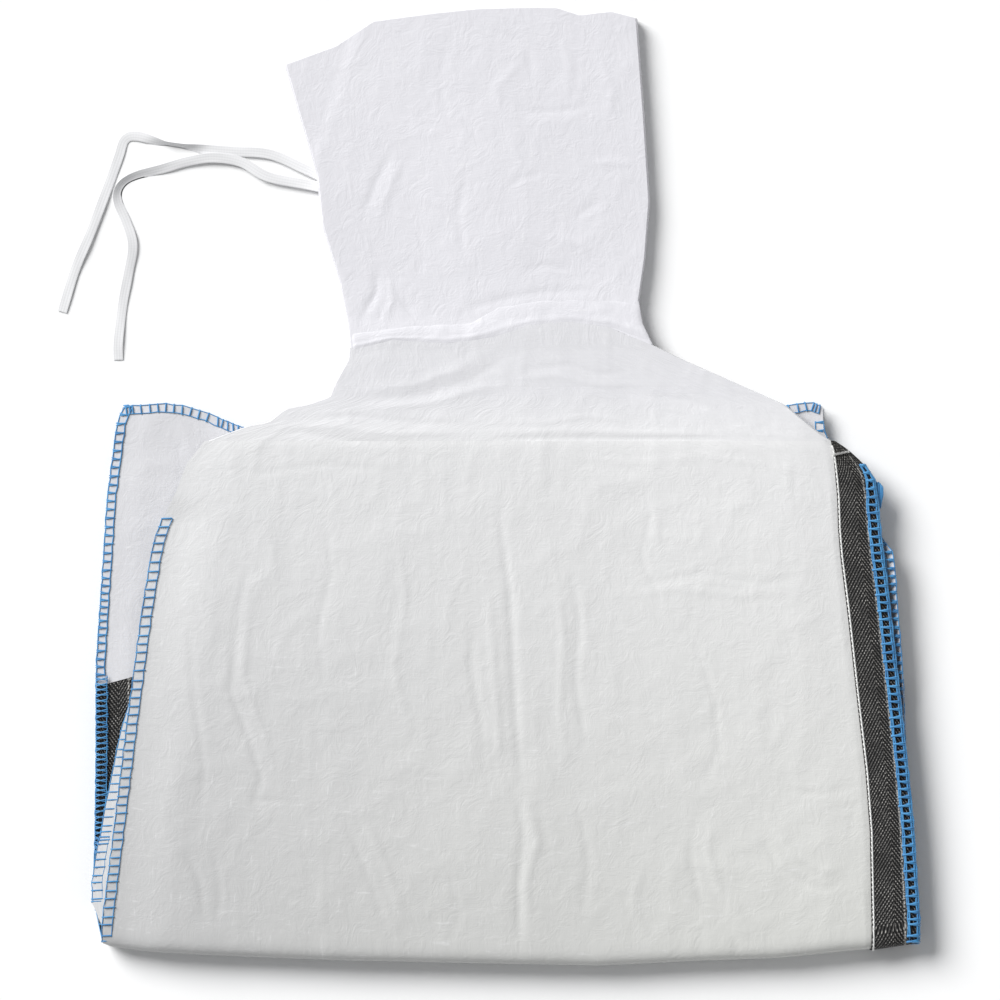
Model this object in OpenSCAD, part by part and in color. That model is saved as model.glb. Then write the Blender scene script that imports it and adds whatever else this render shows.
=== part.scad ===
// Bulk bag with a filling spout, folded in half and lying flat on the floor.
// Millimetres, +Z up, +Y towards the spout mouth, origin at the middle of the footprint.
// The lower half lies on the floor, the upper half is folded over on top of it.

/* [Body] */
// flat width of the folded body, seam edge to seam edge
body_w = 910; // [880:1:940]
// height of the whole folded stack of cloth
stack_h = 40; // [40:0.5:46]
// thickness of one laid-up cloth panel with its creases
panel_t = 2.8; // [2.4:0.1:3]
// thickness of one folded side gusset
gusset_t = 4.4; // [3:0.1:4.4]

/* [Spout] */
// how far the spout reaches from its sewn base to its mouth
spout_len = 361.5; // [300:0.5:361.5]
// thickness of the flattened spout at its mouth
spout_t = 11; // [6:0.5:12]

/* [Webbing] */
// width of the corner webbing
webbing_w = 50; // [40:1:53]
// thickness of the corner webbing
webbing_t = 1.4; // [1:0.1:1.4]
// free length of a lifting loop laid flat
loop_len = 205; // [150:5:205]

/* [Seams] */
// width of the sewn seam allowance with its overlock thread
seam_w = 12; // [8:1:14]
// thickness of a line of sewing thread
thread_t = 0.4; // [0.2:0.05:0.4]

/* [Tie tape] */
// width of the tie tape at the spout
tape_w = 10; // [6:1:12]
// thickness of the tie tape
tape_t = 1.6; // [1:0.1:2]

/* [Hidden] */

cloth = "#e2e2e4";
cloth_cool = "#e8e8ee";
black = "#242424";
blue = "#2a7fc4";
white = "#f4f4f2";
half_w = body_w / 2;
// heights of the layers in the lower half; the upper half is the same stack turned over
allow_t = 1;
front_z = 0;
front_web_z = 0.4;
inner_web_z = panel_t + 0.2;
gusset_z = 5;
base_z = gusset_z + gusset_t + 0.4;
base_t = 1.8;
back_web_z = 12.4;
back_z = 14;
back_thin_z = back_z + panel_t - allow_t;
back_face_z = back_z + panel_t;
lap = 0.2;
top_y = 49;
crease_y = 51;
spout_y = 166;
neck_z = 16;
mouth_y = spout_y + spout_len;
stitch_w = 3;
tack_len = 32;

// outer seam lines, each from the top edge of its half down to the fold
upper_left = [[-330, 46], [-352, 25], [-362, -12], [-381, -40], [-399, -142], [-416, -275],
    [-443, -503]];
upper_left_back = [[-325, 42], [-375, -40], [-400, -200], [-423, -279], [-half_w + 1, -478],
    [-444, -500]];
upper_right_core = [[362, 46], [372, -108], [382, -186], [393, -303], [402, -415], [403, -508]];
upper_right = [[385, 38], [404, 12], [413, -58], [426, -175], [447, -361], [half_w, -500]];
lower_left = [[-419, 88], [-438, -17], [-450, -220], [-452, -415], [-half_w, -478], [-446, -500]];
lower_right = [[349, 86], [404, 8], [426, -78], [436, -198], [445, -300], [452, -470],
    [446, -500]];
// the folded edge of each half, from left to right
upper_fold = [[-328, -516], [-170, -522], [105, -527.5], [303, -519], [403, -509]];
lower_fold = [[-328, -510], [-170, -516], [105, -521], [303, -513]];
// the sewn edge of the base, from right to left
base_edge = [[302, 88], [200, 84], [-200, 78], [-290, 66], [-326, 80], [-373, 89]];
// the corner webbing stops short of the base
web_end_y = -215;

function flip(line) = [for (i = [len(line) - 1 : -1 : 0]) line[i]];
function shift(line, dx) = [for (p = line) [p[0] + dx, p[1]]];
function below(line, y) = [for (p = line) if (p[1] < y) p];
// where a seam line crosses the height y
function at_y(line, y) = [for (i = [1 : len(line) - 1])
    if (line[i - 1][1] >= y && line[i][1] < y)
        let (f = (line[i - 1][1] - y) / (line[i - 1][1] - line[i][1]))
        [line[i - 1][0] + f * (line[i][0] - line[i - 1][0]), y]];
function cut(line, y) = concat(at_y(line, y), below(line, y));
// lowest height of a layer in the lower half, or of the same layer turned over on top
function level(z, t, upper) = upper ? stack_h - z - t : z;

// a flat piece of cloth between two lines that both run down the bag
module strip(line_a, line_b, z, t) {
    translate([0, 0, z])
        linear_extrude(t)
            polygon(concat(line_a, flip(line_b)));
}

module sheet(outline, z, t) {
    translate([0, 0, z])
        linear_extrude(t)
            polygon(outline);
}

// a front or back cloth panel of one half: the laid-up cloth and its thin seam allowances
module panel(left, right, outer, fold, top, z, thin_z, upper) {
    outline = concat(shift(left, seam_w), fold, flip(right), top);
    first_y = outer[0][1] - 6;
    sheet(outline, level(z, panel_t, upper), panel_t);
    strip(left, shift(left, seam_w + lap), level(thin_z, allow_t, upper), allow_t);
    strip(cut(shift(right, -lap), first_y), cut(outer, first_y),
        level(thin_z, allow_t, upper), allow_t);
}

// one side panel of the bag folded in half between the front and the back
module gusset(outer, inner_x, top, side, upper) {
    edge = cut(shift(outer, side * (seam_w + 3)), top);
    fold_y = -500;
    sheet(concat(edge, [[inner_x, fold_y], [inner_x, top]]),
        level(gusset_z, gusset_t, upper), gusset_t);
}

// corner webbing between the seam line and a line one webbing width further in
module webbing(outer, top, side, z, upper) {
    edge = cut(outer, top);
    strip(edge, shift(edge, side * webbing_w), level(z, webbing_t, upper), webbing_t);
}

module thread_line(outer, top, inset, width, side, z, upper) {
    edge = cut(outer, top);
    strip(shift(edge, side * inset), shift(edge, side * (inset + width)),
        level(z, thread_t, upper), thread_t);
}

// the thread of a lower seam between its top end and the cut end of the webbing
module thread_gap(outer, top, side, z) {
    above = concat(at_y(outer, top), [for (p = outer) if (p[1] < top && p[1] > web_end_y + 1) p],
        at_y(outer, web_end_y + 1));
    strip(above, shift(above, side * (seam_w - 1)), level(z, thread_t, false), thread_t);
}

module front_panel_lower() {
    color(cloth)
        panel(lower_left, shift(lower_right, -webbing_w), lower_right, lower_fold, base_edge,
            front_z, panel_t - allow_t, false);
}

module back_panel_lower() {
    color(cloth)
        panel(lower_left, shift(lower_right, -seam_w), lower_right, lower_fold, base_edge,
            back_z, back_thin_z, false);
}

module front_panel_upper() {
    color(cloth)
        panel(upper_left, upper_right_core, upper_right, upper_fold,
            [[361, top_y], [-316, top_y]], front_z, panel_t - allow_t, true);
}

module back_panel_upper() {
    color(cloth)
        panel(upper_left_back, shift(upper_right, -seam_w), upper_right, lower_fold,
            [[350, top_y], [-310, top_y]], back_z, back_thin_z, true);
}

module left_gusset_lower() {
    color(cloth) gusset(lower_left, -5, 60, 1, false);
}

module right_gusset_lower() {
    color(cloth) gusset(lower_right, 5, 60, -1, false);
}

module left_gusset_upper() {
    color(cloth) gusset(upper_left_back, -5, 36, 1, true);
}

module right_gusset_upper() {
    color(cloth) gusset(upper_right, 5, 30, -1, true);
}

// square base, folded flat and tucked up between the gussets and the back
module base_panel() {
    color(cloth) sheet([[-395, 64], [-400, -330], [340, -330], [320, 64]], base_z, base_t);
}

// the top panel runs from the top crease down to the sewn base of the spout
module top_panel() {
    plan = [[-330, crease_y], [361, crease_y], [308, 92], [215, 134], [164, spout_y - 1],
        [-172, spout_y - 1], [-183, 122], [-194, 95], [-264, 69]];
    top_z = stack_h;
    color(cloth_cool)
        intersection() {
            sheet(plan, 0, top_z + 1);
            translate([-400, 0, 0])
                rotate([90, 0, 90])
                    linear_extrude(800)
                        polygon([[crease_y, top_z], [92, top_z - 8.4], [spout_y - 1, neck_z],
                            [spout_y - 1, 6.5], [92, 20.5], [crease_y, top_z - 7.4]]);
        }
}

// flattened spout tube, lying on the floor past its sewn base
module spout() {
    plan = [[163, spout_y], [148, 204], [155, 251], [160, 314], [154, 409], [146, mouth_y - 12],
        [82, mouth_y - 8], [57, mouth_y], [-28, mouth_y - 1], [-145, mouth_y - 15],
        [-186, mouth_y - 42], [-243, mouth_y - 63], [-224, 399], [-208, 345], [-202, 288],
        [-183, 214], [-172, spout_y]];
    color(cloth_cool)
        intersection() {
            sheet(plan, 0, stack_h);
            translate([-400, 0, 0])
                rotate([90, 0, 90])
                    linear_extrude(800)
                        polygon([[spout_y, neck_z], [230, 13], [mouth_y + 5, spout_t],
                            [mouth_y + 5, 0], [215, 0], [spout_y, 6.5]]);
        }
}

// doubled seam allowance where the spout is sewn to the top panel
module spout_seam_band() {
    plan = [[-152, spout_y + 1], [158, spout_y + 1], [147, 204], [114, 207], [3, 198], [-91, 177]];
    color(cloth_cool)
        intersection() {
            sheet(plan, 0, stack_h);
            translate([-400, 0, 0])
                rotate([90, 0, 90])
                    linear_extrude(800)
                        polygon([[spout_y, neck_z], [230, 13], [230, 14.4], [spout_y, neck_z + 1.4]]);
        }
}

// corner webbing; on two corners it lies on the outer face, on two it faces the gusset
module webbing_front_right_lower() {
    color(black) webbing(lower_right, web_end_y, -1, front_web_z, false);
}

module webbing_front_left_lower() {
    color(black) webbing(lower_left, web_end_y, 1, inner_web_z, false);
}

module webbing_back_left_lower() {
    color(black) webbing(lower_left, web_end_y, 1, back_face_z, false);
}

module webbing_back_right_lower() {
    color(black) webbing(lower_right, web_end_y, -1, back_web_z, false);
}

module webbing_front_right_upper() {
    color(black)
        strip(cut(shift(upper_right_core, 0.4), 36), cut(upper_right, 36),
            level(front_web_z, webbing_t, true), webbing_t);
}

module webbing_front_left_upper() {
    color(black) webbing(upper_left, 20, 1, inner_web_z, true);
}

module webbing_back_left_upper() {
    color(black) webbing(upper_left_back, 20, 1, back_face_z, true);
}

module webbing_back_right_upper() {
    color(black) webbing(upper_right, 8, -1, back_web_z, true);
}

// front loops lie folded under the top panel, back loops lie between the two halves
module front_loop(outline) {
    color(black) sheet(outline, 17.8, 2);
}

module lifting_loop_front_left() {
    front_loop([[-320, 53], [-264, 66], [-240, 78], [-320 + loop_len, 86], [-320 + loop_len, 53]]);
}

module lifting_loop_front_right() {
    front_loop([[350, 53], [316, 83], [350 - loop_len, 86], [350 - loop_len, 53]]);
}

module back_loop(x) {
    color(black)
        translate([x, 46 - loop_len, stack_h / 2 - 0.7])
            cube([webbing_w, loop_len, webbing_t]);
}

module lifting_loop_back_left() {
    back_loop(-318);
}

module lifting_loop_back_right() {
    back_loop(296);
}

// overlock thread binding the seam edges
module overlock_front_left_lower() {
    color(blue) thread_line(lower_left, 70, 0, seam_w - 1, 1, panel_t - allow_t - thread_t, false);
}

module overlock_front_right_lower() {
    color(blue) {
        thread_line(lower_right, web_end_y, 0, seam_w - 1, -1, 0, false);
        thread_gap(lower_right, 70, -1, panel_t - allow_t - thread_t);
    }
}

module overlock_back_left_lower() {
    color(blue) {
        thread_line(lower_left, web_end_y, 0, seam_w - 1, 1, back_face_z + webbing_t, false);
        thread_gap(lower_left, 70, 1, back_face_z);
    }
}

module overlock_back_right_lower() {
    color(blue) thread_line(lower_right, 70, 0, seam_w - 1, -1, back_face_z, false);
}

module overlock_front_left_upper() {
    color(blue) thread_line(upper_left, -41, 0, seam_w - 1, 1, panel_t - allow_t - thread_t, true);
}

module overlock_front_right_upper() {
    color(blue) thread_line(upper_right, 8, 0, seam_w - 1, -1, 0, true);
}

module overlock_back_left_upper() {
    color(blue)
        thread_line(upper_left_back, 19, 0, seam_w - 1, 1, back_face_z + webbing_t, true);
}

module overlock_back_right_upper() {
    color(blue) thread_line(upper_right, 8, 0, seam_w - 1, -1, back_face_z, true);
}

module base_thread(z) {
    line = [for (p = base_edge) [p[0], p[1] - 1]];
    inner = [for (p = base_edge) [p[0], p[1] - seam_w]];
    color(blue) sheet(concat(line, flip(inner)), z, thread_t);
}

module overlock_base_front() {
    base_thread(panel_t);
}

module overlock_base_back() {
    base_thread(back_face_z);
}

// seam that joins the top panel to the front and the back, lying inside the body
module top_seam_front() {
    color(cloth)
        sheet([[-255, 28], [345, 28], [345, 46], [-255, 46]], level(inner_web_z, 1.6, true), 1.6);
}

module top_seam_back() {
    color(cloth)
        sheet([[-240, 28], [300, 28], [300, 46], [-240, 46]], level(12.2, 1.6, true), 1.6);
}

// lock stitch that holds the inner edge of each webbing
module stitching_front_right_lower() {
    color(white) thread_line(lower_right, web_end_y, webbing_w - 6, stitch_w, -1, 0, false);
}

module stitching_front_left_lower() {
    color(white) thread_line(lower_left, web_end_y, webbing_w - 6, stitch_w, 1,
        inner_web_z + webbing_t, false);
}

module stitching_back_left_lower() {
    color(white) thread_line(lower_left, web_end_y, webbing_w - 6, stitch_w, 1,
        back_face_z + webbing_t, false);
}

module stitching_back_right_lower() {
    color(white) thread_line(lower_right, web_end_y, webbing_w - 6, stitch_w, -1,
        back_web_z - thread_t, false);
}

module stitching_front_right_upper() {
    color(white) thread_line(shift(upper_right_core, 4), 30, 0, stitch_w, 1, 0, true);
}

module stitching_front_left_upper() {
    color(white) thread_line(upper_left, 10, webbing_w - 6, stitch_w, 1,
        inner_web_z + webbing_t, true);
}

module stitching_back_left_upper() {
    color(white) thread_line(upper_left_back, 10, webbing_w - 6, stitch_w, 1,
        back_face_z + webbing_t, true);
}

module stitching_back_right_upper() {
    color(white) thread_line(upper_right, 4, webbing_w - 6, stitch_w, -1,
        back_web_z - thread_t, true);
}

// bar of zigzag stitches across the top end of each webbing
module bar_tack(outer, top, side, z) {
    corner = at_y(outer, top)[0][0];
    x0 = side > 0 ? corner + seam_w + 1 : corner - seam_w - 1 - tack_len;
    color(white) translate([x0, top - stitch_w, level(z, thread_t, true)])
        cube([tack_len, stitch_w, thread_t]);
}

module bar_tack_front_left() {
    bar_tack(upper_left, 17, 1, inner_web_z + webbing_t);
}

module bar_tack_front_right() {
    color(white) translate([at_y(upper_right_core, 35)[0][0] + 1, 32, level(0, thread_t, true)])
        cube([19, stitch_w, thread_t]);
}

module bar_tack_back_left() {
    bar_tack(upper_left_back, 17, 1, back_face_z + webbing_t);
}

module bar_tack_back_right() {
    bar_tack(upper_right, 7.5, -1, back_web_z - thread_t);
}

// two free tails of the tie tape, sewn to the left edge of the spout
upper_tail_route = [[-216, 352, 3], [-238, 359, 1.6], [-263, 366, 1.2], [-301, 369, 1.2],
    [-337, 371, 1.2], [-375, 377, 1.2], [-406, 385, 1.2], [-421, 382, 1.2], [-427, 361, 1.2],
    [-442, 319, 1.2], [-459, 277, 1.2], [-474, 239, 1.2], [-488, 193, 1.2]];
lower_tail_route = [[-212, 329, 3], [-238, 338, 3.6], [-269, 346, 3.8], [-291, 357, 3.8],
    [-322, 362, 3.8], [-350, 360, 3.6], [-375, 353, 2.4], [-406, 344, 1.2], [-425, 337, 1.2],
    [-429, 319, 1.2], [-418, 294, 1.2], [-412, 268, 1.2], [-416, 235, 1.2], [-422, 203, 1.2],
    [-427, 161, 1.2], [-427, 139, 1.2]];
tail_steps = 3;
tail_sides = 8;

// smooth curve through the route points
function route_at(r, i, f) =
    let (a = r[max(i - 1, 0)], b = r[i], c = r[i + 1], d = r[min(i + 2, len(r) - 1)])
    0.5 * ((2 * b) + (c - a) * f + (2 * a - 5 * b + 4 * c - d) * f * f
        + (3 * b - a - 3 * c + d) * f * f * f);
function rings(r) = concat(
    [for (i = [0 : len(r) - 2]) for (k = [0 : tail_steps - 1]) route_at(r, i, k / tail_steps)],
    [r[len(r) - 1]]);
function unit(v) = v / norm(v);
function side_at(line, i) =
    let (d = line[min(i + 1, len(line) - 1)] - line[max(i - 1, 0)])
    unit([-d[1], d[0], 0]);

module tail(route) {
    line = rings(route);
    last = len(line) - 1;
    points = [for (i = [0 : last]) for (k = [0 : tail_sides - 1])
        line[i] + side_at(line, i) * tape_w / 2 * cos(k * 360 / tail_sides)
            + [0, 0, tape_t / 2 * sin(k * 360 / tail_sides)]];
    walls = [for (i = [0 : last - 1]) for (k = [0 : tail_sides - 1])
        let (n = (k + 1) % tail_sides)
        [i * tail_sides + k, (i + 1) * tail_sides + k,
            (i + 1) * tail_sides + n, i * tail_sides + n]];
    first_cap = [for (k = [0 : tail_sides - 1]) k];
    last_cap = [for (k = [tail_sides - 1 : -1 : 0]) last * tail_sides + k];
    color(white) polyhedron(points, concat(walls, [first_cap, last_cap]));
}

module tie_tape_upper_tail() {
    tail(upper_tail_route);
}

module tie_tape_lower_tail() {
    tail(lower_tail_route);
}

front_panel_lower();
back_panel_lower();
left_gusset_lower();
right_gusset_lower();
base_panel();
front_panel_upper();
back_panel_upper();
left_gusset_upper();
right_gusset_upper();
top_panel();
spout();
spout_seam_band();
webbing_front_left_lower();
webbing_front_right_lower();
webbing_back_left_lower();
webbing_back_right_lower();
webbing_front_left_upper();
webbing_front_right_upper();
webbing_back_left_upper();
webbing_back_right_upper();
lifting_loop_front_left();
lifting_loop_front_right();
lifting_loop_back_left();
lifting_loop_back_right();
overlock_front_left_lower();
overlock_front_right_lower();
overlock_back_left_lower();
overlock_back_right_lower();
overlock_front_left_upper();
overlock_front_right_upper();
overlock_back_left_upper();
overlock_back_right_upper();
overlock_base_front();
overlock_base_back();
top_seam_front();
top_seam_back();
stitching_front_left_lower();
stitching_front_right_lower();
stitching_back_left_lower();
stitching_back_right_lower();
stitching_front_left_upper();
stitching_front_right_upper();
stitching_back_left_upper();
stitching_back_right_upper();
bar_tack_front_left();
bar_tack_front_right();
bar_tack_back_left();
bar_tack_back_right();
tie_tape_upper_tail();
tie_tape_lower_tail();
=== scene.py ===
"""Bulk bag with a filling spout, folded in half and lying flat on the floor.

Lengths are millimetres inside the builders and are turned into metres when a mesh is
written. +Y runs from the folded edge to the spout mouth, +Z is up.
"""

import sys
import logging
import math
from dataclasses import dataclass, field
from enum import Enum
from typing import Callable

import bmesh
import bpy
import numpy as np
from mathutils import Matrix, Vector


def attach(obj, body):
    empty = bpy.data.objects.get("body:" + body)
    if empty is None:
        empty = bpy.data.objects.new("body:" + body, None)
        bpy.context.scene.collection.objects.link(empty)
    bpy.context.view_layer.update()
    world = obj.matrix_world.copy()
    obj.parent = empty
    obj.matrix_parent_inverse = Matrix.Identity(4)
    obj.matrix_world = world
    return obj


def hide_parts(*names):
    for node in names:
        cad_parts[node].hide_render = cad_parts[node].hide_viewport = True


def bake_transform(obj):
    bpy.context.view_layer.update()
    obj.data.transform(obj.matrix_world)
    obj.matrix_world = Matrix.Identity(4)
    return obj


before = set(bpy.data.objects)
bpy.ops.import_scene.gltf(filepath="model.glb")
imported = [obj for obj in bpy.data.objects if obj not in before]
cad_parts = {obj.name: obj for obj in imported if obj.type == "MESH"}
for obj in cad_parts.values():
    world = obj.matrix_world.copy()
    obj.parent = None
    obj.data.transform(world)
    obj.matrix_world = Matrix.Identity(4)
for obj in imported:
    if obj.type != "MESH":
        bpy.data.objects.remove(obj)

LOG = logging.getLogger("bulk_bag")
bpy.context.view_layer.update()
MM = 0.001
SHARP_DEG = 50.0
CLOTH_WALL = 0.35
WRINKLE = 0.7
FAR = 1e9
Array = np.ndarray
Surface = Callable[[Array, Array], Array]
Point = tuple[float, float, float]


class Body(Enum):
    """Moving bodies of the bag."""

    LOWER = "lower_half"
    UPPER = "upper_half"
    TOP = "filling_top"
    SPOUT = "spout_tube"


class Slot(Enum):
    """Material slots of the record."""

    BODY_CLOTH = "body_cloth"
    SPOUT_CLOTH = "spout_cloth"
    WEBBING = "webbing"
    BLUE_THREAD = "blue_thread"
    WHITE_THREAD = "white_thread"
    TIE_TAPE = "tie_tape"


# ---------------------------------------------------------------- numbers and lines


def smooth(low: float, high: float, value: Array) -> Array:
    """Smooth step from 0 below low to 1 above high."""
    t = np.clip((value - low) / (high - low), 0.0, 1.0)
    return t * t * (3.0 - 2.0 * t)


def squared(value: Array) -> Array:
    """Bend a sine or cosine so that a half turn made of it has fuller corners."""
    return np.sign(value) * np.abs(value) ** 0.62


def lattice(ix: Array, iy: Array, seed: int) -> Array:
    """Fixed pseudo random value from 0 to 1 at each whole lattice point."""
    mixed = (ix.astype(np.int64) * 374761393 + iy.astype(np.int64) * 668265263
             + seed * 974634777) & 0x7FFFFFFF
    mixed = ((mixed ^ (mixed >> 13)) * 1274126177) & 0x7FFFFFFF
    return ((mixed ^ (mixed >> 16)) & 0xFFFF) / 65535.0


def value_noise(x: Array, y: Array, size: float, seed: int) -> Array:
    """Smooth noise from -1 to 1 whose bumps are about size across."""
    gx, gy = x / size, y / size
    ix, iy = np.floor(gx), np.floor(gy)
    fx, fy = gx - ix, gy - iy
    fx, fy = fx * fx * (3 - 2 * fx), fy * fy * (3 - 2 * fy)
    low = lattice(ix, iy, seed) * (1 - fx) + lattice(ix + 1, iy, seed) * fx
    high = lattice(ix, iy + 1, seed) * (1 - fx) + lattice(ix + 1, iy + 1, seed) * fx
    return (low * (1 - fy) + high * fy) * 2.0 - 1.0


def crumple(x: Array, y: Array, size: float, seed: int) -> Array:
    """Sharp-edged crumple from 0 to 1: folds between slack facets.

    Args:
        x: places across.
        y: places along.
        size: usual width of a facet.
        seed: picks the pattern.

    Returns:
        Height of the crumple at each place.
    """
    bend_x = x + 0.45 * size * value_noise(x, y, size * 1.7, seed + 11)
    bend_y = y + 0.45 * size * value_noise(x, y, size * 1.7, seed + 23)
    first = 1.0 - np.abs(value_noise(bend_x, bend_y, size, seed))
    turned_x, turned_y = 0.8 * bend_x + 0.6 * bend_y, 0.8 * bend_y - 0.6 * bend_x
    second = 1.0 - np.abs(value_noise(turned_x, turned_y, size * 0.62, seed + 5))
    return 0.65 * first**2 + 0.35 * second**2


@dataclass(frozen=True)
class Line:
    """A line in plan, in millimetres."""

    points: tuple[tuple[float, float], ...]

    def x_at(self, y: Array) -> Array:
        """Return x where the line passes the height y."""
        pts = sorted(self.points, key=lambda p: p[1])
        return np.interp(y, [p[1] for p in pts], [p[0] for p in pts])

    def y_at(self, x: Array) -> Array:
        """Return y where the line passes the place x."""
        pts = sorted(self.points)
        return np.interp(x, [p[0] for p in pts], [p[1] for p in pts])

    def shifted(self, dx: float) -> "Line":
        """Return the same line moved sideways."""
        return Line(tuple((x + dx, y) for x, y in self.points))

    def distance(self, x: Array, y: Array) -> tuple[Array, Array]:
        """Return the distance to the line, and the share of its length at the near point."""
        best = np.full(x.shape, FAR)
        share = np.zeros(x.shape)
        legs = list(zip(self.points[:-1], self.points[1:]))
        total = sum(math.dist(a, b) for a, b in legs)
        done = 0.0
        for a, b in legs:
            dx, dy = b[0] - a[0], b[1] - a[1]
            size = dx * dx + dy * dy
            t = np.clip(((x - a[0]) * dx + (y - a[1]) * dy) / size, 0.0, 1.0)
            away = np.hypot(x - a[0] - t * dx, y - a[1] - t * dy)
            near = away < best
            best = np.where(near, away, best)
            share = np.where(near, (done + t * math.sqrt(size)) / total, share)
            done += math.sqrt(size)
        return best, share


@dataclass(frozen=True)
class Crease:
    """A fold line pressed into the cloth: height is its rise, width half its reach."""

    line: Line
    height: float
    width: float

    def lift(self, x: Array, y: Array) -> Array:
        """Return how far the crease lifts the cloth at each place."""
        away, share = self.line.distance(x, y)
        ridge = np.clip(1.0 - away / self.width, 0.0, 1.0) ** 1.6
        ends = np.clip(4.0 * np.minimum(share, 1.0 - share), 0.15, 1.0)
        return self.height * ridge * ends


def crease(height: float, width: float, *points: tuple[float, float]) -> Crease:
    """Return a crease through the given points."""
    return Crease(Line(points), height, width)


# ---------------------------------------------------------------- finishes


class NodeBoard:
    """Small helper that adds and links nodes of one material."""

    def __init__(self, name: str) -> None:
        """Start a material with an empty Principled set-up."""
        self.material = bpy.data.materials.new(name)
        self.material.use_nodes = True
        self.tree = self.material.node_tree
        self.shader = self.tree.nodes["Principled BSDF"]

    def add(self, kind: str, **values: object) -> bpy.types.Node:
        """Add a node; a name with a leading underscore sets an input, others a property."""
        node = self.tree.nodes.new("ShaderNode" + kind)
        for key, value in values.items():
            if key.startswith("_"):
                node.inputs[key[1:].replace("_", " ")].default_value = value
            else:
                setattr(node, key, value)
        return node

    def link(self, out: bpy.types.NodeSocket, into: bpy.types.NodeSocket) -> None:
        """Link an output to an input."""
        self.tree.links.new(out, into)

    def math(self, operation: str, a: object, b: object = 0.0) -> bpy.types.NodeSocket:
        """Return the output of a maths node fed by numbers or sockets."""
        node = self.add("Math", operation=operation)
        for index, value in enumerate((a, b)):
            if isinstance(value, (int, float)):
                node.inputs[index].default_value = value
            else:
                self.link(value, node.inputs[index])
        return node.outputs[0]

    def ramp(self, source: bpy.types.NodeSocket, low: float, high: float) -> bpy.types.NodeSocket:
        """Return source stretched so that low becomes 0 and high becomes 1, clamped."""
        node = self.add("MapRange")
        node.inputs["From Min"].default_value = low
        node.inputs["From Max"].default_value = high
        self.link(source, node.inputs["Value"])
        return node.outputs["Result"]

    def mix(self, share: object, first: object, second: object) -> bpy.types.NodeSocket:
        """Return the colour mix of two colours or sockets."""
        node = self.add("Mix", data_type="RGBA")
        fed = ((node.inputs[0], share), (node.inputs[6], first), (node.inputs[7], second))
        for socket, value in fed:
            if isinstance(value, bpy.types.NodeSocket):
                self.link(value, socket)
            elif isinstance(value, (int, float)):
                socket.default_value = value
            else:
                socket.default_value = (*value, 1.0)
        return node.outputs[2]

    def bump(self, height: bpy.types.NodeSocket, strength: float, distance: float,
             after: bpy.types.NodeSocket | None = None) -> bpy.types.NodeSocket:
        """Return a bump normal, laid over an earlier one."""
        node = self.add("Bump")
        node.inputs["Strength"].default_value = strength
        node.inputs["Distance"].default_value = distance
        self.link(height, node.inputs["Height"])
        if after is not None:
            self.link(after, node.inputs["Normal"])
        return node.outputs[0]


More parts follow.
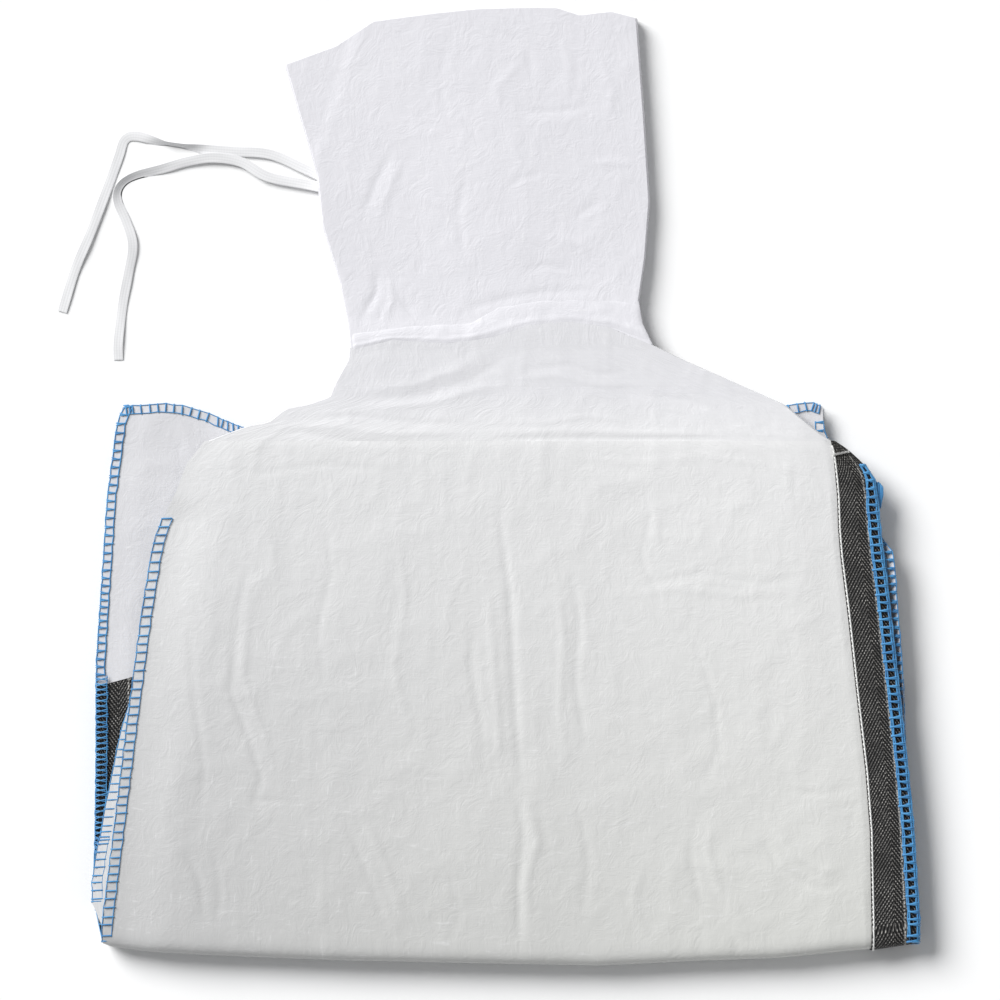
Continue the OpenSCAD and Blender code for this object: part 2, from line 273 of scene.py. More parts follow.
@dataclass(frozen=True)
class CoatedWeave:
    """Coated woven cloth: flat tapes under a thin satin film that crackles where creased."""

    name: str
    tint: tuple[float, float, float]
    shade: tuple[float, float, float]
    tape: float = 0.0026
    crackle: float = 0.7
    roughness: float = 0.46
    # colours of painted light and shade at a panel's top left, top right, low left and low right
    painted_light_corners: tuple[tuple[float, float, float], ...] = ()
    reach: tuple[float, float] = (0.9, 0.55)

    def build(self) -> bpy.types.Material:
        """Return the material, laid out on the cloth's own UV map in metres."""
        board = NodeBoard(self.name)
        place = board.add("TexCoord").outputs["UV"]
        drift = board.add("TexNoise", _Scale=3.2, _Detail=3.0)
        board.link(place, drift.inputs["Vector"])
        cloud = board.ramp(drift.outputs["Fac"], 0.35, 0.65)
        streaks = []
        for wide, tall in ((34.0, 190.0), (210.0, 38.0)):
            aim = board.add("Mapping")
            aim.inputs["Scale"].default_value = (wide, tall, 1.0)
            board.link(place, aim.inputs["Vector"])
            grain = board.add("TexNoise", _Scale=1.0, _Detail=3.0, _Roughness=0.6)
            board.link(aim.outputs[0], grain.inputs["Vector"])
            streaks.append(grain.outputs["Fac"])
        folds = board.add("TexNoise", _Scale=42.0, _Detail=5.0, _Roughness=0.62, _Distortion=0.9)
        board.link(place, folds.inputs["Vector"])
        ridge = board.math("ABSOLUTE", board.math("SUBTRACT", folds.outputs["Fac"], 0.5))
        lines = board.ramp(ridge, 0.0, 0.16)
        fine = board.add("TexNoise", _Scale=160.0, _Detail=4.0, _Roughness=0.65)
        board.link(place, fine.inputs["Vector"])
        weave = board.add("TexBrick", offset=0.5, squash=1.0)
        weave.inputs["Scale"].default_value = 1.0
        weave.inputs["Brick Width"].default_value = self.tape * 2.0
        weave.inputs["Row Height"].default_value = self.tape
        weave.inputs["Mortar Size"].default_value = self.tape * 0.12
        weave.inputs["Mortar Smooth"].default_value = 1.0
        board.link(place, weave.inputs["Vector"])
        tone = board.mix(cloud, self.tint, self.shade)
        # painted light and shade: a gradient between the corner colours takes the place of the
        # plain tone
        if self.painted_light_corners:
            tone = self.painted_light_gradient(board, place, cloud)
        # pale streaks along the tapes: partly painted highlight for glints off the creased film,
        # partly the woven tapes' own paler flecks
        both = board.math("MAXIMUM", streaks[0], streaks[1])
        glint_fleck_share = board.math("MULTIPLY", board.ramp(both, 0.62, 0.74), 0.30)
        glint_flecked_tone = board.mix(glint_fleck_share, tone, (0.86, 0.86, 0.87))
        seam = board.math("MULTIPLY", weave.outputs["Fac"], 0.05)
        board.link(board.mix(seam, glint_flecked_tone, (0.5, 0.5, 0.51)), board.shader.inputs["Base Color"])
        rough = board.math("MULTIPLY_ADD", fine.outputs["Fac"], 0.16)
        rough.node.inputs[2].default_value = self.roughness - 0.08
        board.link(rough, board.shader.inputs["Roughness"])
        normal = board.bump(lines, self.crackle * 0.30, 0.0008)
        for streak in streaks:
            normal = board.bump(streak, self.crackle * 0.30, 0.0004, normal)
        normal = board.bump(fine.outputs["Fac"], self.crackle * 0.30, 0.0006, normal)
        tapes = board.math("SUBTRACT", 1.0, weave.outputs["Fac"])
        normal = board.bump(tapes, 0.18, 0.00012, normal)
        board.link(normal, board.shader.inputs["Normal"])
        board.shader.inputs["Specular IOR Level"].default_value = 0.42
        return board.material

    def painted_light_gradient(self, board: NodeBoard, place: bpy.types.NodeSocket,
              cloud: bpy.types.NodeSocket) -> bpy.types.NodeSocket:
        """Return the tone of a panel with painted light and shade graded across it.

        Args:
            board: the material.
            place: its UV.
            cloud: a slow noise from 0 to 1.

        Returns:
            The tone, from the colours at the top left and right and bottom left and right.
        """
        split = board.add("SeparateXYZ")
        board.link(place, split.inputs[0])
        across = board.ramp(split.outputs[0], -0.5 * self.reach[0], 0.5 * self.reach[0])
        down = board.ramp(split.outputs[1], 0.0, -self.reach[1])
        top_left, top_right, low_left, low_right = self.painted_light_corners
        top = board.mix(across, top_left, top_right)
        low = board.mix(across, low_left, low_right)
        tone = board.mix(down, top, low)
        return board.mix(board.math("MULTIPLY", cloud, 0.12), tone, self.shade)


@dataclass(frozen=True)
class HerringboneWebbing:
    """Black webbing woven in a herringbone, with pale flecks and one pale stripe."""

    name: str = "herringbone_webbing"
    width: float = 0.05
    stripe_at: float = 0.72
    pitch: float = 0.0058

    def build(self) -> bpy.types.Material:
        """Return the material; its UV runs across and along the strap in metres."""
        board = NodeBoard(self.name)
        place = board.add("TexCoord").outputs["UV"]
        split = board.add("SeparateXYZ")
        board.link(place, split.inputs[0])
        across, along = split.outputs[0], split.outputs[1]
        from_mid = board.math("ABSOLUTE", board.math("SUBTRACT", across, self.width / 2))
        slant = board.math("ADD", along, board.math("MULTIPLY", from_mid, 1.5))
        wave = board.math("SINE", board.math("MULTIPLY", slant, 2 * math.pi / self.pitch))
        rib01 = board.math("MULTIPLY_ADD", wave, 0.5)
        rib01.node.inputs[2].default_value = 0.5
        beads = board.math("SINE", board.math("MULTIPLY", across, 2 * math.pi / 0.0021))
        picks = board.math("SINE", board.math("MULTIPLY", along, 2 * math.pi / 0.0027))
        bead01 = board.ramp(board.math("ADD", beads, picks), -0.4, 1.3)
        dust = board.add("TexNoise", _Scale=430.0, _Detail=2.0)
        board.link(place, dust.inputs["Vector"])
        patch = board.add("TexNoise", _Scale=34.0, _Detail=2.0)
        board.link(place, patch.inputs["Vector"])
        fleck = board.math("MULTIPLY", board.ramp(rib01, 0.55, 0.95), bead01)
        fleck = board.math("MULTIPLY", fleck, board.ramp(dust.outputs["Fac"], 0.38, 0.56))
        fleck = board.math("MULTIPLY", fleck, board.ramp(patch.outputs["Fac"], 0.22, 0.55))
        near = board.math("ABSOLUTE", board.math("SUBTRACT", across, self.width * self.stripe_at))
        stripe = board.math("MULTIPLY", board.ramp(near, 0.0017, 0.0004),
                            board.ramp(dust.outputs["Fac"], 0.40, 0.56))
        pale = board.math("MAXIMUM", fleck, board.math("MULTIPLY", stripe, 0.75))
        yarn = board.mix(board.ramp(rib01, 0.30, 0.75), (0.003, 0.003, 0.003),
                         (0.034, 0.032, 0.031))
        board.link(board.mix(board.math("MULTIPLY", pale, 0.95), yarn, (0.66, 0.64, 0.60)),
                   board.shader.inputs["Base Color"])
        relief = board.math("MULTIPLY_ADD", bead01, 0.35)
        board.link(rib01, relief.node.inputs[2])
        board.link(board.bump(relief, 0.9, 0.0009), board.shader.inputs["Normal"])
        board.shader.inputs["Roughness"].default_value = 0.62
        board.shader.inputs["Specular IOR Level"].default_value = 0.35
        return board.material


@dataclass(frozen=True)
class SewingThread:
    """Twisted multifilament sewing thread."""

    name: str
    colour: tuple[float, float, float]
    dark: tuple[float, float, float]

    def build(self) -> bpy.types.Material:
        """Return the material, with a fine twist along the thread."""
        board = NodeBoard(self.name)
        place = board.add("TexCoord").outputs["Object"]
        twist = board.add("TexWave", wave_type="BANDS", bands_direction="DIAGONAL",
                          _Scale=420.0, _Distortion=2.0)
        board.link(place, twist.inputs["Vector"])
        spread = board.add("TexNoise", _Scale=70.0, _Detail=2.0)
        board.link(place, spread.inputs["Vector"])
        share = board.math("MULTIPLY", board.ramp(spread.outputs["Fac"], 0.35, 0.7), 0.8)
        board.link(board.mix(share, self.colour, self.dark), board.shader.inputs["Base Color"])
        board.link(board.bump(twist.outputs["Fac"], 0.35, 0.0003), board.shader.inputs["Normal"])
        board.shader.inputs["Roughness"].default_value = 0.5
        board.shader.inputs["Sheen Weight"].default_value = 0.25
        return board.material


@dataclass(frozen=True)
class TapeWeave:
    """Flat translucent-looking tie tape with lengthwise ribs."""

    name: str = "tie_tape_weave"

    def build(self) -> bpy.types.Material:
        """Return the material; its UV runs across and along the tape in metres."""
        board = NodeBoard(self.name)
        split = board.add("SeparateXYZ")
        place = board.add("TexCoord").outputs["UV"]
        board.link(place, split.inputs[0])
        ribs = board.math("SINE", board.math("MULTIPLY", split.outputs[0], 2 * math.pi / 0.0016))
        picks = board.math("SINE", board.math("MULTIPLY", split.outputs[1], 2 * math.pi / 0.003))
        weave = board.math("ADD", board.math("MULTIPLY", ribs, 0.35),
                           board.math("MULTIPLY", picks, 0.15))
        level = board.math("ADD", weave, 0.5)
        board.link(board.mix(board.ramp(level, 0.1, 0.9), (0.80, 0.80, 0.81), (0.87, 0.87, 0.88)),
                   board.shader.inputs["Base Color"])
        board.link(board.bump(level, 0.4, 0.0002), board.shader.inputs["Normal"])
        board.shader.inputs["Roughness"].default_value = 0.42
        return board.material


class Finishes:
    """Every finish of the bag, built once."""

    def __init__(self) -> None:
        """Build the materials."""
        # front cloth: its corner colours are painted light and shade, lighter towards the top
        # right, darker towards the lower left and warmer at the lower right
        self.front = CoatedWeave("front_cloth", (0.70, 0.70, 0.70), (0.62, 0.62, 0.625), painted_light_corners=(
            (0.73, 0.73, 0.735), (0.80, 0.797, 0.80), (0.51, 0.51, 0.51),
            (0.672, 0.675, 0.645))).build()
        self.body = CoatedWeave("body_cloth", (0.70, 0.70, 0.70), (0.665, 0.668, 0.672)).build()
        self.top = CoatedWeave("top_cloth", (0.695, 0.692, 0.715), (0.67, 0.668, 0.69)).build()
        # top panel next to the crease: painted light, lighter towards the right, running on from
        # the front cloth's painted light
        self.brow = CoatedWeave("brow_cloth", (0.695, 0.692, 0.715), (0.67, 0.668, 0.69), painted_light_corners=(
            (0.70, 0.70, 0.707), (0.79, 0.787, 0.795), (0.695, 0.692, 0.715),
            (0.695, 0.692, 0.715)), reach=(1.3, -0.055)).build()
        self.spout = CoatedWeave("spout_cloth", (0.77, 0.763, 0.80), (0.745, 0.738, 0.775),
                                 crackle=0.78, roughness=0.42).build()
        self.webbing = HerringboneWebbing().build()
        self.blue = SewingThread("blue_thread", (0.07, 0.31, 0.61), (0.03, 0.18, 0.43)).build()
        self.white = SewingThread("white_thread", (0.84, 0.84, 0.82), (0.66, 0.66, 0.65)).build()
        self.tape = TapeWeave().build()


# ---------------------------------------------------------------- making pieces


def wall_up(made: bmesh.types.BMesh, wall: float) -> None:
    """Give a sheet its thickness: copy it, move the copy along its normals, close the rim.

    Args:
        made: the sheet.
        wall: the thickness, inwards if positive and outwards if negative.
    """
    made.normal_update()
    rim = [edge for edge in made.edges if edge.is_boundary]
    outer = list(made.verts)
    step = [vert.normal * -wall for vert in outer]
    copied = bmesh.ops.duplicate(made, geom=made.verts[:] + made.edges[:] + made.faces[:])
    pairs = copied["vert_map"]
    turned = [face for face in copied["geom"] if isinstance(face, bmesh.types.BMFace)]
    for vert, move in zip(outer, step):
        pairs[vert].co = vert.co + move
    bmesh.ops.reverse_faces(made, faces=turned)
    for edge in rim:
        loop = edge.link_loops[0]
        first, second = loop.vert, loop.link_loop_next.vert
        made.faces.new((second, first, pairs[first], pairs[second]))
    if wall < 0:
        bmesh.ops.reverse_faces(made, faces=made.faces[:])


def finished(name: str, mesh_bm: bmesh.types.BMesh, material: bpy.types.Material,
             wall: float = 0.0) -> bpy.types.Object:
    """Turn a bmesh in millimetres into a smooth-shaded piece in metres.

    Args:
        name: name of the piece.
        mesh_bm: the shape, freed here.
        material: its finish.
        wall: thickness given to a sheet, inwards if positive and outwards if negative.

    Returns:
        The new object.
    """
    if wall:
        wall_up(mesh_bm, wall)
    bmesh.ops.scale(mesh_bm, vec=(MM, MM, MM), verts=mesh_bm.verts)
    mesh = bpy.data.meshes.new(name)
    mesh_bm.to_mesh(mesh)
    mesh_bm.free()
    mesh.polygons.foreach_set("use_smooth", [True] * len(mesh.polygons))
    mesh.set_sharp_from_angle(angle=math.radians(SHARP_DEG))
    mesh.materials.append(material)
    piece = bpy.data.objects.new(name, mesh)
    bpy.context.scene.collection.objects.link(piece)
    return piece


def laid_grid(columns: int, rows: int, lay: Callable[[Array, Array], tuple[Array, Array, Array]],
              measure: Callable[[Array, Array], tuple[Array, Array]]) -> bmesh.types.BMesh:
    """Lay a flat grid over a shape.

    Args:
        columns: cells across.
        rows: cells along.
        lay: gives x, y, z in millimetres from the shares across and along.
        measure: gives the UV in metres from the shares across and along.

    Returns:
        The laid grid.
    """
    made = bmesh.new()
    bmesh.ops.create_grid(made, x_segments=columns, y_segments=rows, size=1.0)
    made.verts.ensure_lookup_table()
    flat = np.array([v.co[:] for v in made.verts])
    low, high = flat.min(axis=0), flat.max(axis=0)
    u = (flat[:, 0] - low[0]) / (high[0] - low[0])
    v = (flat[:, 1] - low[1]) / (high[1] - low[1])
    x, y, z = lay(u, v)
    for vert, place in zip(made.verts, np.stack((x, y, z), axis=1)):
        vert.co = place
    uv_u, uv_v = measure(u, v)
    layer = made.loops.layers.uv.new("cloth")
    for face in made.faces:
        for loop in face.loops:
            index = loop.vert.index
            loop[layer].uv = (uv_u[index], uv_v[index])
    return made


@dataclass
class ThreadWork:
    """Sewing thread made of many short runs, each a thin round strand."""

    name: str
    radius: float
    runs: list[tuple[list[Point], float]] = field(default_factory=list)

    def run(self, points: list[Point], share: float = 1.0) -> None:
        """Add one strand through points in millimetres, at a share of the full radius."""
        self.runs.append((points, share))

    def build(self, material: bpy.types.Material, slot: Slot) -> bpy.types.Object:
        """Return the strands as one mesh piece."""
        strand = bpy.data.curves.new(self.name + "_line", "CURVE")
        strand.dimensions = "3D"
        strand.bevel_depth = self.radius * MM
        strand.bevel_resolution = 1
        strand.use_fill_caps = True
        for points, share in self.runs:
            spline = strand.splines.new("POLY")
            spline.points.add(len(points) - 1)
            for point, place in zip(spline.points, points):
                point.co = (place[0] * MM, place[1] * MM, place[2] * MM, 1.0)
                point.radius = share
        holder = bpy.data.objects.new(self.name + "_line", strand)
        bpy.context.scene.collection.objects.link(holder)
        mesh = bpy.data.meshes.new_from_object(holder)
        bpy.data.objects.remove(holder)
        bpy.data.curves.remove(strand)
        mesh.name = self.name
        mesh.polygons.foreach_set("use_smooth", [True] * len(mesh.polygons))
        mesh.materials.clear()
        mesh.materials.append(material)
        piece = bpy.data.objects.new(self.name, mesh)
        bpy.context.scene.collection.objects.link(piece)
        return piece


# ---------------------------------------------------------------- the lay of the bag


def attach_thread(works: list[ThreadWork], material: bpy.types.Material, slot: Slot, stem: str,
                  turn: tuple[float, float]) -> None:
    """Make a seam's thread and tie its stretches inside the fold to the bag's halves.

    Args:
        works: the whole thread, or its stretches above, at and below the fold.
        material: its finish.
        slot: not used.
        stem: name of the solids that it stands for.
        turn: not used.
    """
    pieces = [work.build(material, slot) for work in works]
    if len(pieces) == 1:
        wrap_blend(pieces[0])
        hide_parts(stem + "_lower", stem + "_upper")
        return
    for part, piece in zip(FOLD_PARTS, pieces):
        part.attach(piece, stem, turn)


@dataclass(frozen=True)
class BagPlan:
    """Outlines of the folded bag in plan, each seam line from its top edge to the fold."""

    upper_left: Line = Line(((-330, 50), (-350, 25), (-362, -8), (-378, -40), (-387, -68),
                             (-399, -142), (-408, -213), (-416, -275), (-443, -503)))
    upper_left_back: Line = Line(((-322, 44), (-366, -40), (-388, -160), (-404, -213),
                                  (-423, -279), (-441, -371), (-454, -478)))
    webbing_edge: Line = Line(((358, 51), (361, 35), (365, -13), (366, -48), (368.5, -80),
                               (376, -141), (386, -235), (396, -323), (401, -392), (403, -508)))
    upper_right: Line = Line(((359, 53), (377, 41), (394, 25), (405, 9), (409, -15),
                              (413, -60), (420, -117), (426, -171), (442, -323), (448, -386),
                              (455, -498)))
    lower_left: Line = Line(((-419, 88), (-427, 70), (-438, -17), (-445, -130), (-450, -220),
                             (-450, -323), (-451, -415), (-453, -500)))
    lower_right: Line = Line(((350, 88), (351, 60), (358, 48), (368, 34), (385, 10), (396, -15),
                              (406, -46), (416, -62), (426, -76), (429, -100), (431, -135),
                              (434, -171), (438, -226), (441, -300), (446, -400), (449, -500)))
    fold: Line = Line(((-456, -472), (-448, -480), (-445, -496), (-443, -503), (-433, -507),
                       (-394, -512), (-328, -516), (-170, -522), (105, -527.5), (215, -522),
                       (303, -519), (359, -513), (402, -509), (456, -501)))
    base_edge: Line = Line(((-419, 88), (-373, 91), (-351, 88), (-326, 80), (-306, 71),
                            (-290, 65), (-272, 58), (-200, 62), (200, 78), (302, 87), (336, 93),
                            (350, 88)))
    top_left: Line = Line(((-330, 49), (-285, 66), (-262, 70), (-243, 85), (-220, 89),
                           (-194, 98), (-188, 114), (-174, 139), (-171, 160), (-174, 180)))
    top_right: Line = Line(((361, 49), (351, 55), (308, 90), (198, 139), (163, 156), (156, 180)))
    spout_left: Line = Line(((-171, 150), (-174, 180), (-183, 227), (-202, 288), (-208, 345),
                             (-224, 399), (-243, 464.5)))
    spout_right: Line = Line(((166, 150), (152, 180), (148, 204), (155, 251), (160, 314),
                              (154, 409), (146, 515.5)))
    mouth: Line = Line(((-243, 464), (-186, 485), (-145, 512), (-78, 521), (-28, 526), (35, 527.5),
                        (57, 527), (82, 519), (117, 523), (146, 515.5)))
    band_low: Line = Line(((-157, 152), (-117, 163), (-59, 159), (-9, 166), (35, 178), (76, 182),
                           (121, 176), (163, 155)))
    band_high: Line = Line(((-157, 168), (-91, 177), (-28, 180), (3, 198), (51, 205), (114, 207),
                            (149, 203)))
    web_end: float = -215.0


PLAN = BagPlan()
TOP_CREASE = 50.0
TOP_SPLIT = 110.0
BASE_Y = 88.0
FOLD_Y = -500.0
TURN_LENGTH = 60.0
SEAM_LAG = 19.0
CLOTH_ACROSS = 0.9
LIP_WIDTH = 13.0
LIP_ROLLED = 34.8
LIP_FRONT_UPPER, LIP_BACK_UPPER, LIP_BACK_LOWER, LIP_FRONT_LOWER = 33.0, 24.6, 15.6, 2.6
LEFT_PLEAT = Line(((-146, 520), (-155, 502), (-169, 462), (-180, 423), (-194, 384), (-207, 352)))
CORNER_FLAP = Line(((-368, 84), (-366, 76), (-359, 64), (-354, 40), (-352, 24), (-356, 0)))
TOP_CREASES = (
    crease(-1.0, 3.5, (-34, 52), (82, 53.5), (170, 53), (272, 53)),
    crease(0.8, 6, (-30, 58), (60, 62), (150, 59), (230, 58)),
    crease(-0.9, 6, (-270, 57), (-225, 60), (-170, 50), (-94, 46)),
    crease(1.0, 7, (-250, 66), (-190, 66), (-120, 58), (-40, 60)),
    crease(-0.8, 6, (-230, 74), (-170, 78), (-100, 70), (-30, 68)),
    crease(-1.0, 14, (-178, 92), (-94, 100), (-38, 117), (-5, 139), (30, 156)),
    crease(1.0, 12, (-165, 105), (-100, 112), (-50, 130), (-20, 148)),
    crease(0.9, 8, (-165, 84), (-82, 92), (-27, 108), (20, 112)),
    crease(-0.7, 6, (16, 128), (71, 134), (104, 123), (148, 128)),
    crease(0.7, 6, (0, 118), (60, 122), (100, 112), (170, 112)),
    crease(-0.6, 6, (148, 100), (203, 95), (240, 80)),
    crease(0.6, 5, (-4, 72), (45, 70), (90, 78), (140, 72)),
)
FRONT_CREASES = (
    crease(-1.8, 9, (0, 2), (-5, -37), (5, -114), (8, -169), (11, -235), (16, -312), (22, -356)),
    crease(-2.0, 8, (12, -330), (20, -380), (14, -440), (16, -515)),
    crease(1.3, 9, (20, -330), (36, -390), (24, -433), (28, -500)),
    crease(-1.1, 8, (-33, -147), (-38, -191), (-27, -257), (-22, -301)),
    crease(1.0, 8, (-18, -100), (-14, -180), (-8, -260), (-4, -330)),
    crease(-1.1, 8, (70, -81), (83, -147), (77, -213), (88, -279), (77, -305)),
    crease(1.2, 9, (58, -105), (64, -170), (60, -240), (66, -290)),
    crease(-1.4, 7, (-291, -125), (-302, -224), (-280, -279), (-267, -323), (-276, -345),
           (-247, -345), (-214, -358)),
    crease(1.0, 8, (-280, -110), (-288, -210), (-266, -270), (-252, -320)),
    crease(-1.2, 7, (-352, -400), (-335, -433), (-330, -480)),
    crease(-1.0, 6, (-319, -396), (-313, -455), (-319, -484)),
    crease(-0.9, 7, (-346, -147), (-341, -235), (-330, -312), (-338, -380)),
    crease(-1.1, 8, (-176, -367), (-148, -433), (-126, -499)),
    crease(1.0, 9, (-160, -350), (-130, -420), (-106, -490)),
    crease(-1.0, 7, (209, -169), (231, -235), (236, -290), (214, -334)),
    crease(-1.3, 9, (214, -356), (203, -400), (214, -455), (258, -499), (320, -508)),
    crease(1.3, 10, (232, -360), (222, -400), (236, -446), (272, -480)),
    crease(-1.2, 8, (280, -378), (302, -422), (346, -444), (384, -433)),
    crease(1.1, 8, (290, -364), (316, -404), (352, -424), (388, -410)),
    crease(-0.9, 6, (148, -108), (214, -96), (280, -106), (345, -97)),
    crease(0.8, 6, (110, -122), (190, -112), (260, -120), (330, -112)),
    crease(-0.9, 6, (302, -334), (350, -338), (396, -328)),
    crease(-1.0, 6, (356, -356), (384, -350), (378, -392)),
    crease(-1.0, 9, (77, -334), (93, -411), (82, -488)),
    crease(-0.8, 4, (319, 38), (318, -4), (323, -26)),
    crease(-0.8, 6, (-280, -86), (-291, -125), (-300, -160)),
    crease(-0.7, 7, (-200, -20), (-190, -90), (-206, -160), (-196, -230)),
    crease(0.8, 8, (-120, -40), (-110, -120), (-122, -200), (-104, -280)),
    crease(-0.8, 6, (130, 10), (160, -30), (150, -80), (176, -130)),
    crease(-0.8, 5, (-330, 20), (-270, 14), (-200, 24), (-120, 16)),
    crease(0.7, 5, (60, 34), (140, 26), (220, 34), (300, 22)),
    crease(-0.8, 8, (-60, -420), (-50, -470), (-64, -510)),
    crease(0.9, 8, (150, -420), (140, -460), (160, -505)),
)
SPOUT_CREASES = (
    crease(-2.2, 8, (-114, 207), (-101, 187), (-86, 172)),
    crease(-2.2, 8, (-141, 240), (-142, 213), (-155, 190), (-166, 160)),
    crease(1.8, 7, (-128, 232), (-124, 205), (-134, 182), (-150, 160)),
    crease(-1.6, 6, (-138, 198), (-135, 170), (-148, 155)),
    crease(-1.7, 9, (-124, 370), (-143, 333), (-155, 296)),
    crease(1.3, 9, (-110, 366), (-128, 330), (-140, 290)),
    crease(-1.4, 8, (-12, 504), (11, 493), (25, 482), (31, 448)),
    crease(-1.6, 7, (-51, 406), (-40, 395), (-28, 381), (-15, 365)),
    crease(1.2, 7, (-96, 322), (-79, 313), (-66, 307)),
    crease(-1.1, 7, (0, 325), (16, 339), (46, 347)),
    crease(-1.1, 7, (76, 293), (89, 305), (105, 314)),
    crease(1.4, 8, (53, 286), (67, 274), (84, 266), (96, 252)),
    crease(-1.2, 7, (3, 424), (25, 412), (45, 412), (73, 415), (97, 420)),
    crease(-1.3, 8, (18, 236), (45, 244), (80, 237)),
    crease(1.3, 7, (92, 356), (120, 357), (148, 356)),
    crease(-1.0, 9, (-60, 500), (-72, 450), (-64, 400)),
    crease(1.0, 9, (60, 500), (72, 460), (66, 420)),
    crease(-1.1, 9, (-40, 350), (-52, 300), (-44, 250)),
    crease(1.0, 8, (100, 480), (118, 440), (112, 400)),
    crease(-1.0, 8, (-100, 290), (-88, 260), (-96, 226)),
    crease(-1.6, 10, (-60, 190), (-10, 204), (40, 214), (104, 216)),
    crease(1.2, 9, (20, 470), (-10, 440), (-4, 410)),
)


def rounded(distance: Array, radius: float) -> Array:
    """Quarter-circle rise from 0 at the edge to 1 at the radius."""
    share = np.clip(distance / radius, 0.0, 1.0)
    return np.sqrt(share * (2.0 - share))


class Lay:
    """Heights of every layer of cloth over the floor, in millimetres."""

    @staticmethod
    def crumples(x: Array, y: Array, creases: tuple[Crease, ...], seed: int) -> Array:
        """Return the wrinkles of a laid cloth."""
        lift = 0.8 * (crumple(x, y, 74.0, seed) - 0.45)
        lift += 0.5 * (crumple(x * 1.25, y * 0.8, 33.0, seed + 3) - 0.45)
        lift += 0.22 * (crumple(x, y, 15.0, seed + 7) - 0.45)
        lift += 1.0 * value_noise(x, y, 150.0, seed + 9)
        for item in creases:
            lift += WRINKLE * item.lift(x, y)
        return lift

    @classmethod
    def top(cls, x: Array, y: Array) -> Array:
        """Upper face of the front panel and the top panel, down to the spout."""
        slope = np.interp(y, [-600, 44, 58, 100, 150, 186, 230, 400, 530],
                          [37.4, 37.4, 36.2, 30.5, 24.0, 21.0, 19.5, 19.0, 18.5])
        rise = cls.crumples(x, y, FRONT_CREASES + TOP_CREASES, 41)
        return slope + rise * (1.0 - 0.25 * smooth(100, 180, y))

    @classmethod
    def top_panel(cls, x: Array, y: Array) -> Array:
        """Upper face of the top panel, which meets the front panel at the crease."""
        crease_y = np.full(np.shape(y), TOP_CREASE)
        gap = cls.front_upper(x, crease_y) - cls.top(x, crease_y)
        return cls.top(x, y) + gap * (1 - smooth(TOP_CREASE, TOP_CREASE + 36, y))

    @classmethod
    def spout(cls, x: Array, y: Array) -> Array:
        """Upper face of the spout, which joins on to the top panel."""
        away, _ = LEFT_PLEAT.distance(x, y)
        left_of = x < LEFT_PLEAT.x_at(y)
        step = np.where(left_of & (y > 345), -0.7 * smooth(0, 16, away), 0.0)
        slope = np.interp(y, [150, 186, 230, 400, 530], [24.0, 21.0, 19.5, 19.0, 18.5])
        bulge = 1.0 * np.exp(-(((x + 20) / 95) ** 2 + ((y - 330) / 120) ** 2))
        new = slope + bulge + 0.62 * cls.crumples(x, y, SPOUT_CREASES, 87) + step
        share = smooth(168, 205, y)
        return cls.top(x, y) * (1 - share) + new * share

    @classmethod
    def front_upper(cls, x: Array, y: Array) -> Array:
        """Front cloth on the upper half: flat lips at the seams, rolled at the top left."""
        high = cls.top(x, y)
        from_left = x - PLAN.upper_left.x_at(y)
        lip = LIP_FRONT_UPPER + 0.5 * value_noise(x, y, 45, 5)
        sewn = lip + (high - lip) * smooth(LIP_WIDTH - 2, LIP_WIDTH + 62, from_left)
        rolled = LIP_ROLLED + (high - LIP_ROLLED) * smooth(-4, 60, from_left)
        share = smooth(-42, -6, y)
        left = sewn * (1 - share) + rolled * share
        inside = PLAN.webbing_edge.x_at(y) - 1.5 - x
        flange = cls.right_flange(x, y)
        rise = 0.45 * rounded(inside, 4) + 0.55 * smooth(0, 55, inside)
        return flange + (left - flange) * rise

    @staticmethod
    def right_flange(x: Array, y: Array) -> Array:
        """Front cloth under the right-hand webbing of the upper half."""
        outside = PLAN.upper_right.x_at(y) - x
        drop = 2.0 * smooth(14, 0, outside)
        swell = 1.6 * smooth(6, 46, outside)
        return LIP_FRONT_UPPER + swell - drop + 0.3 * value_noise(x, y, 60, 6)

    @staticmethod
    def front_lower(x: Array, y: Array) -> Array:
        """Front cloth of the lower half, lying on the floor."""
        over_webbing = smooth(0, 6, x - PLAN.lower_right.x_at(y) + 56) * smooth(-186, -208, y)
        wave = 0.4 * (1 + value_noise(x, y, 60, 17)) + 0.4 * crumple(x, y, 30, 19)
        inside = np.minimum(x - PLAN.lower_left.x_at(y), PLAN.lower_right.x_at(y) - x)
        lip = smooth(LIP_WIDTH + 20, LIP_WIDTH, inside)
        flat = 1.0 + wave + 2.0 * over_webbing
        return flat * (1 - lip) + LIP_FRONT_LOWER * lip

    @staticmethod
    def back_lower(x: Array, y: Array) -> Array:
        """Back cloth of the lower half, facing the folded-over upper half."""
        inside = np.minimum(x - PLAN.lower_left.x_at(y), PLAN.lower_right.x_at(y) - x)
        wave = 0.5 * value_noise(x, y, 70, 29) + 0.9 * (crumple(x, y, 38, 31) - 0.75)
        lip = LIP_BACK_LOWER + 0.3 * value_noise(x, y, 40, 33)
        flap = 0.8 * smooth(-1.5, 1.5, x - CORNER_FLAP.x_at(y)) * smooth(10, 30, y)
        laid = lip + (17.2 + wave - lip) * smooth(LIP_WIDTH - 2, LIP_WIDTH + 26, inside)
        return laid + flap + Lay.right_curl(x, y)

    @staticmethod
    def right_curl(x: Array, y: Array) -> Array:
        """Rise of the lower half's right edge where it peeps out beside the upper half."""
        beside = x - PLAN.upper_right.x_at(y)
        return 14.0 * smooth(0.5, 8, beside) * smooth(-52, -70, y) * smooth(-330, -270, y)

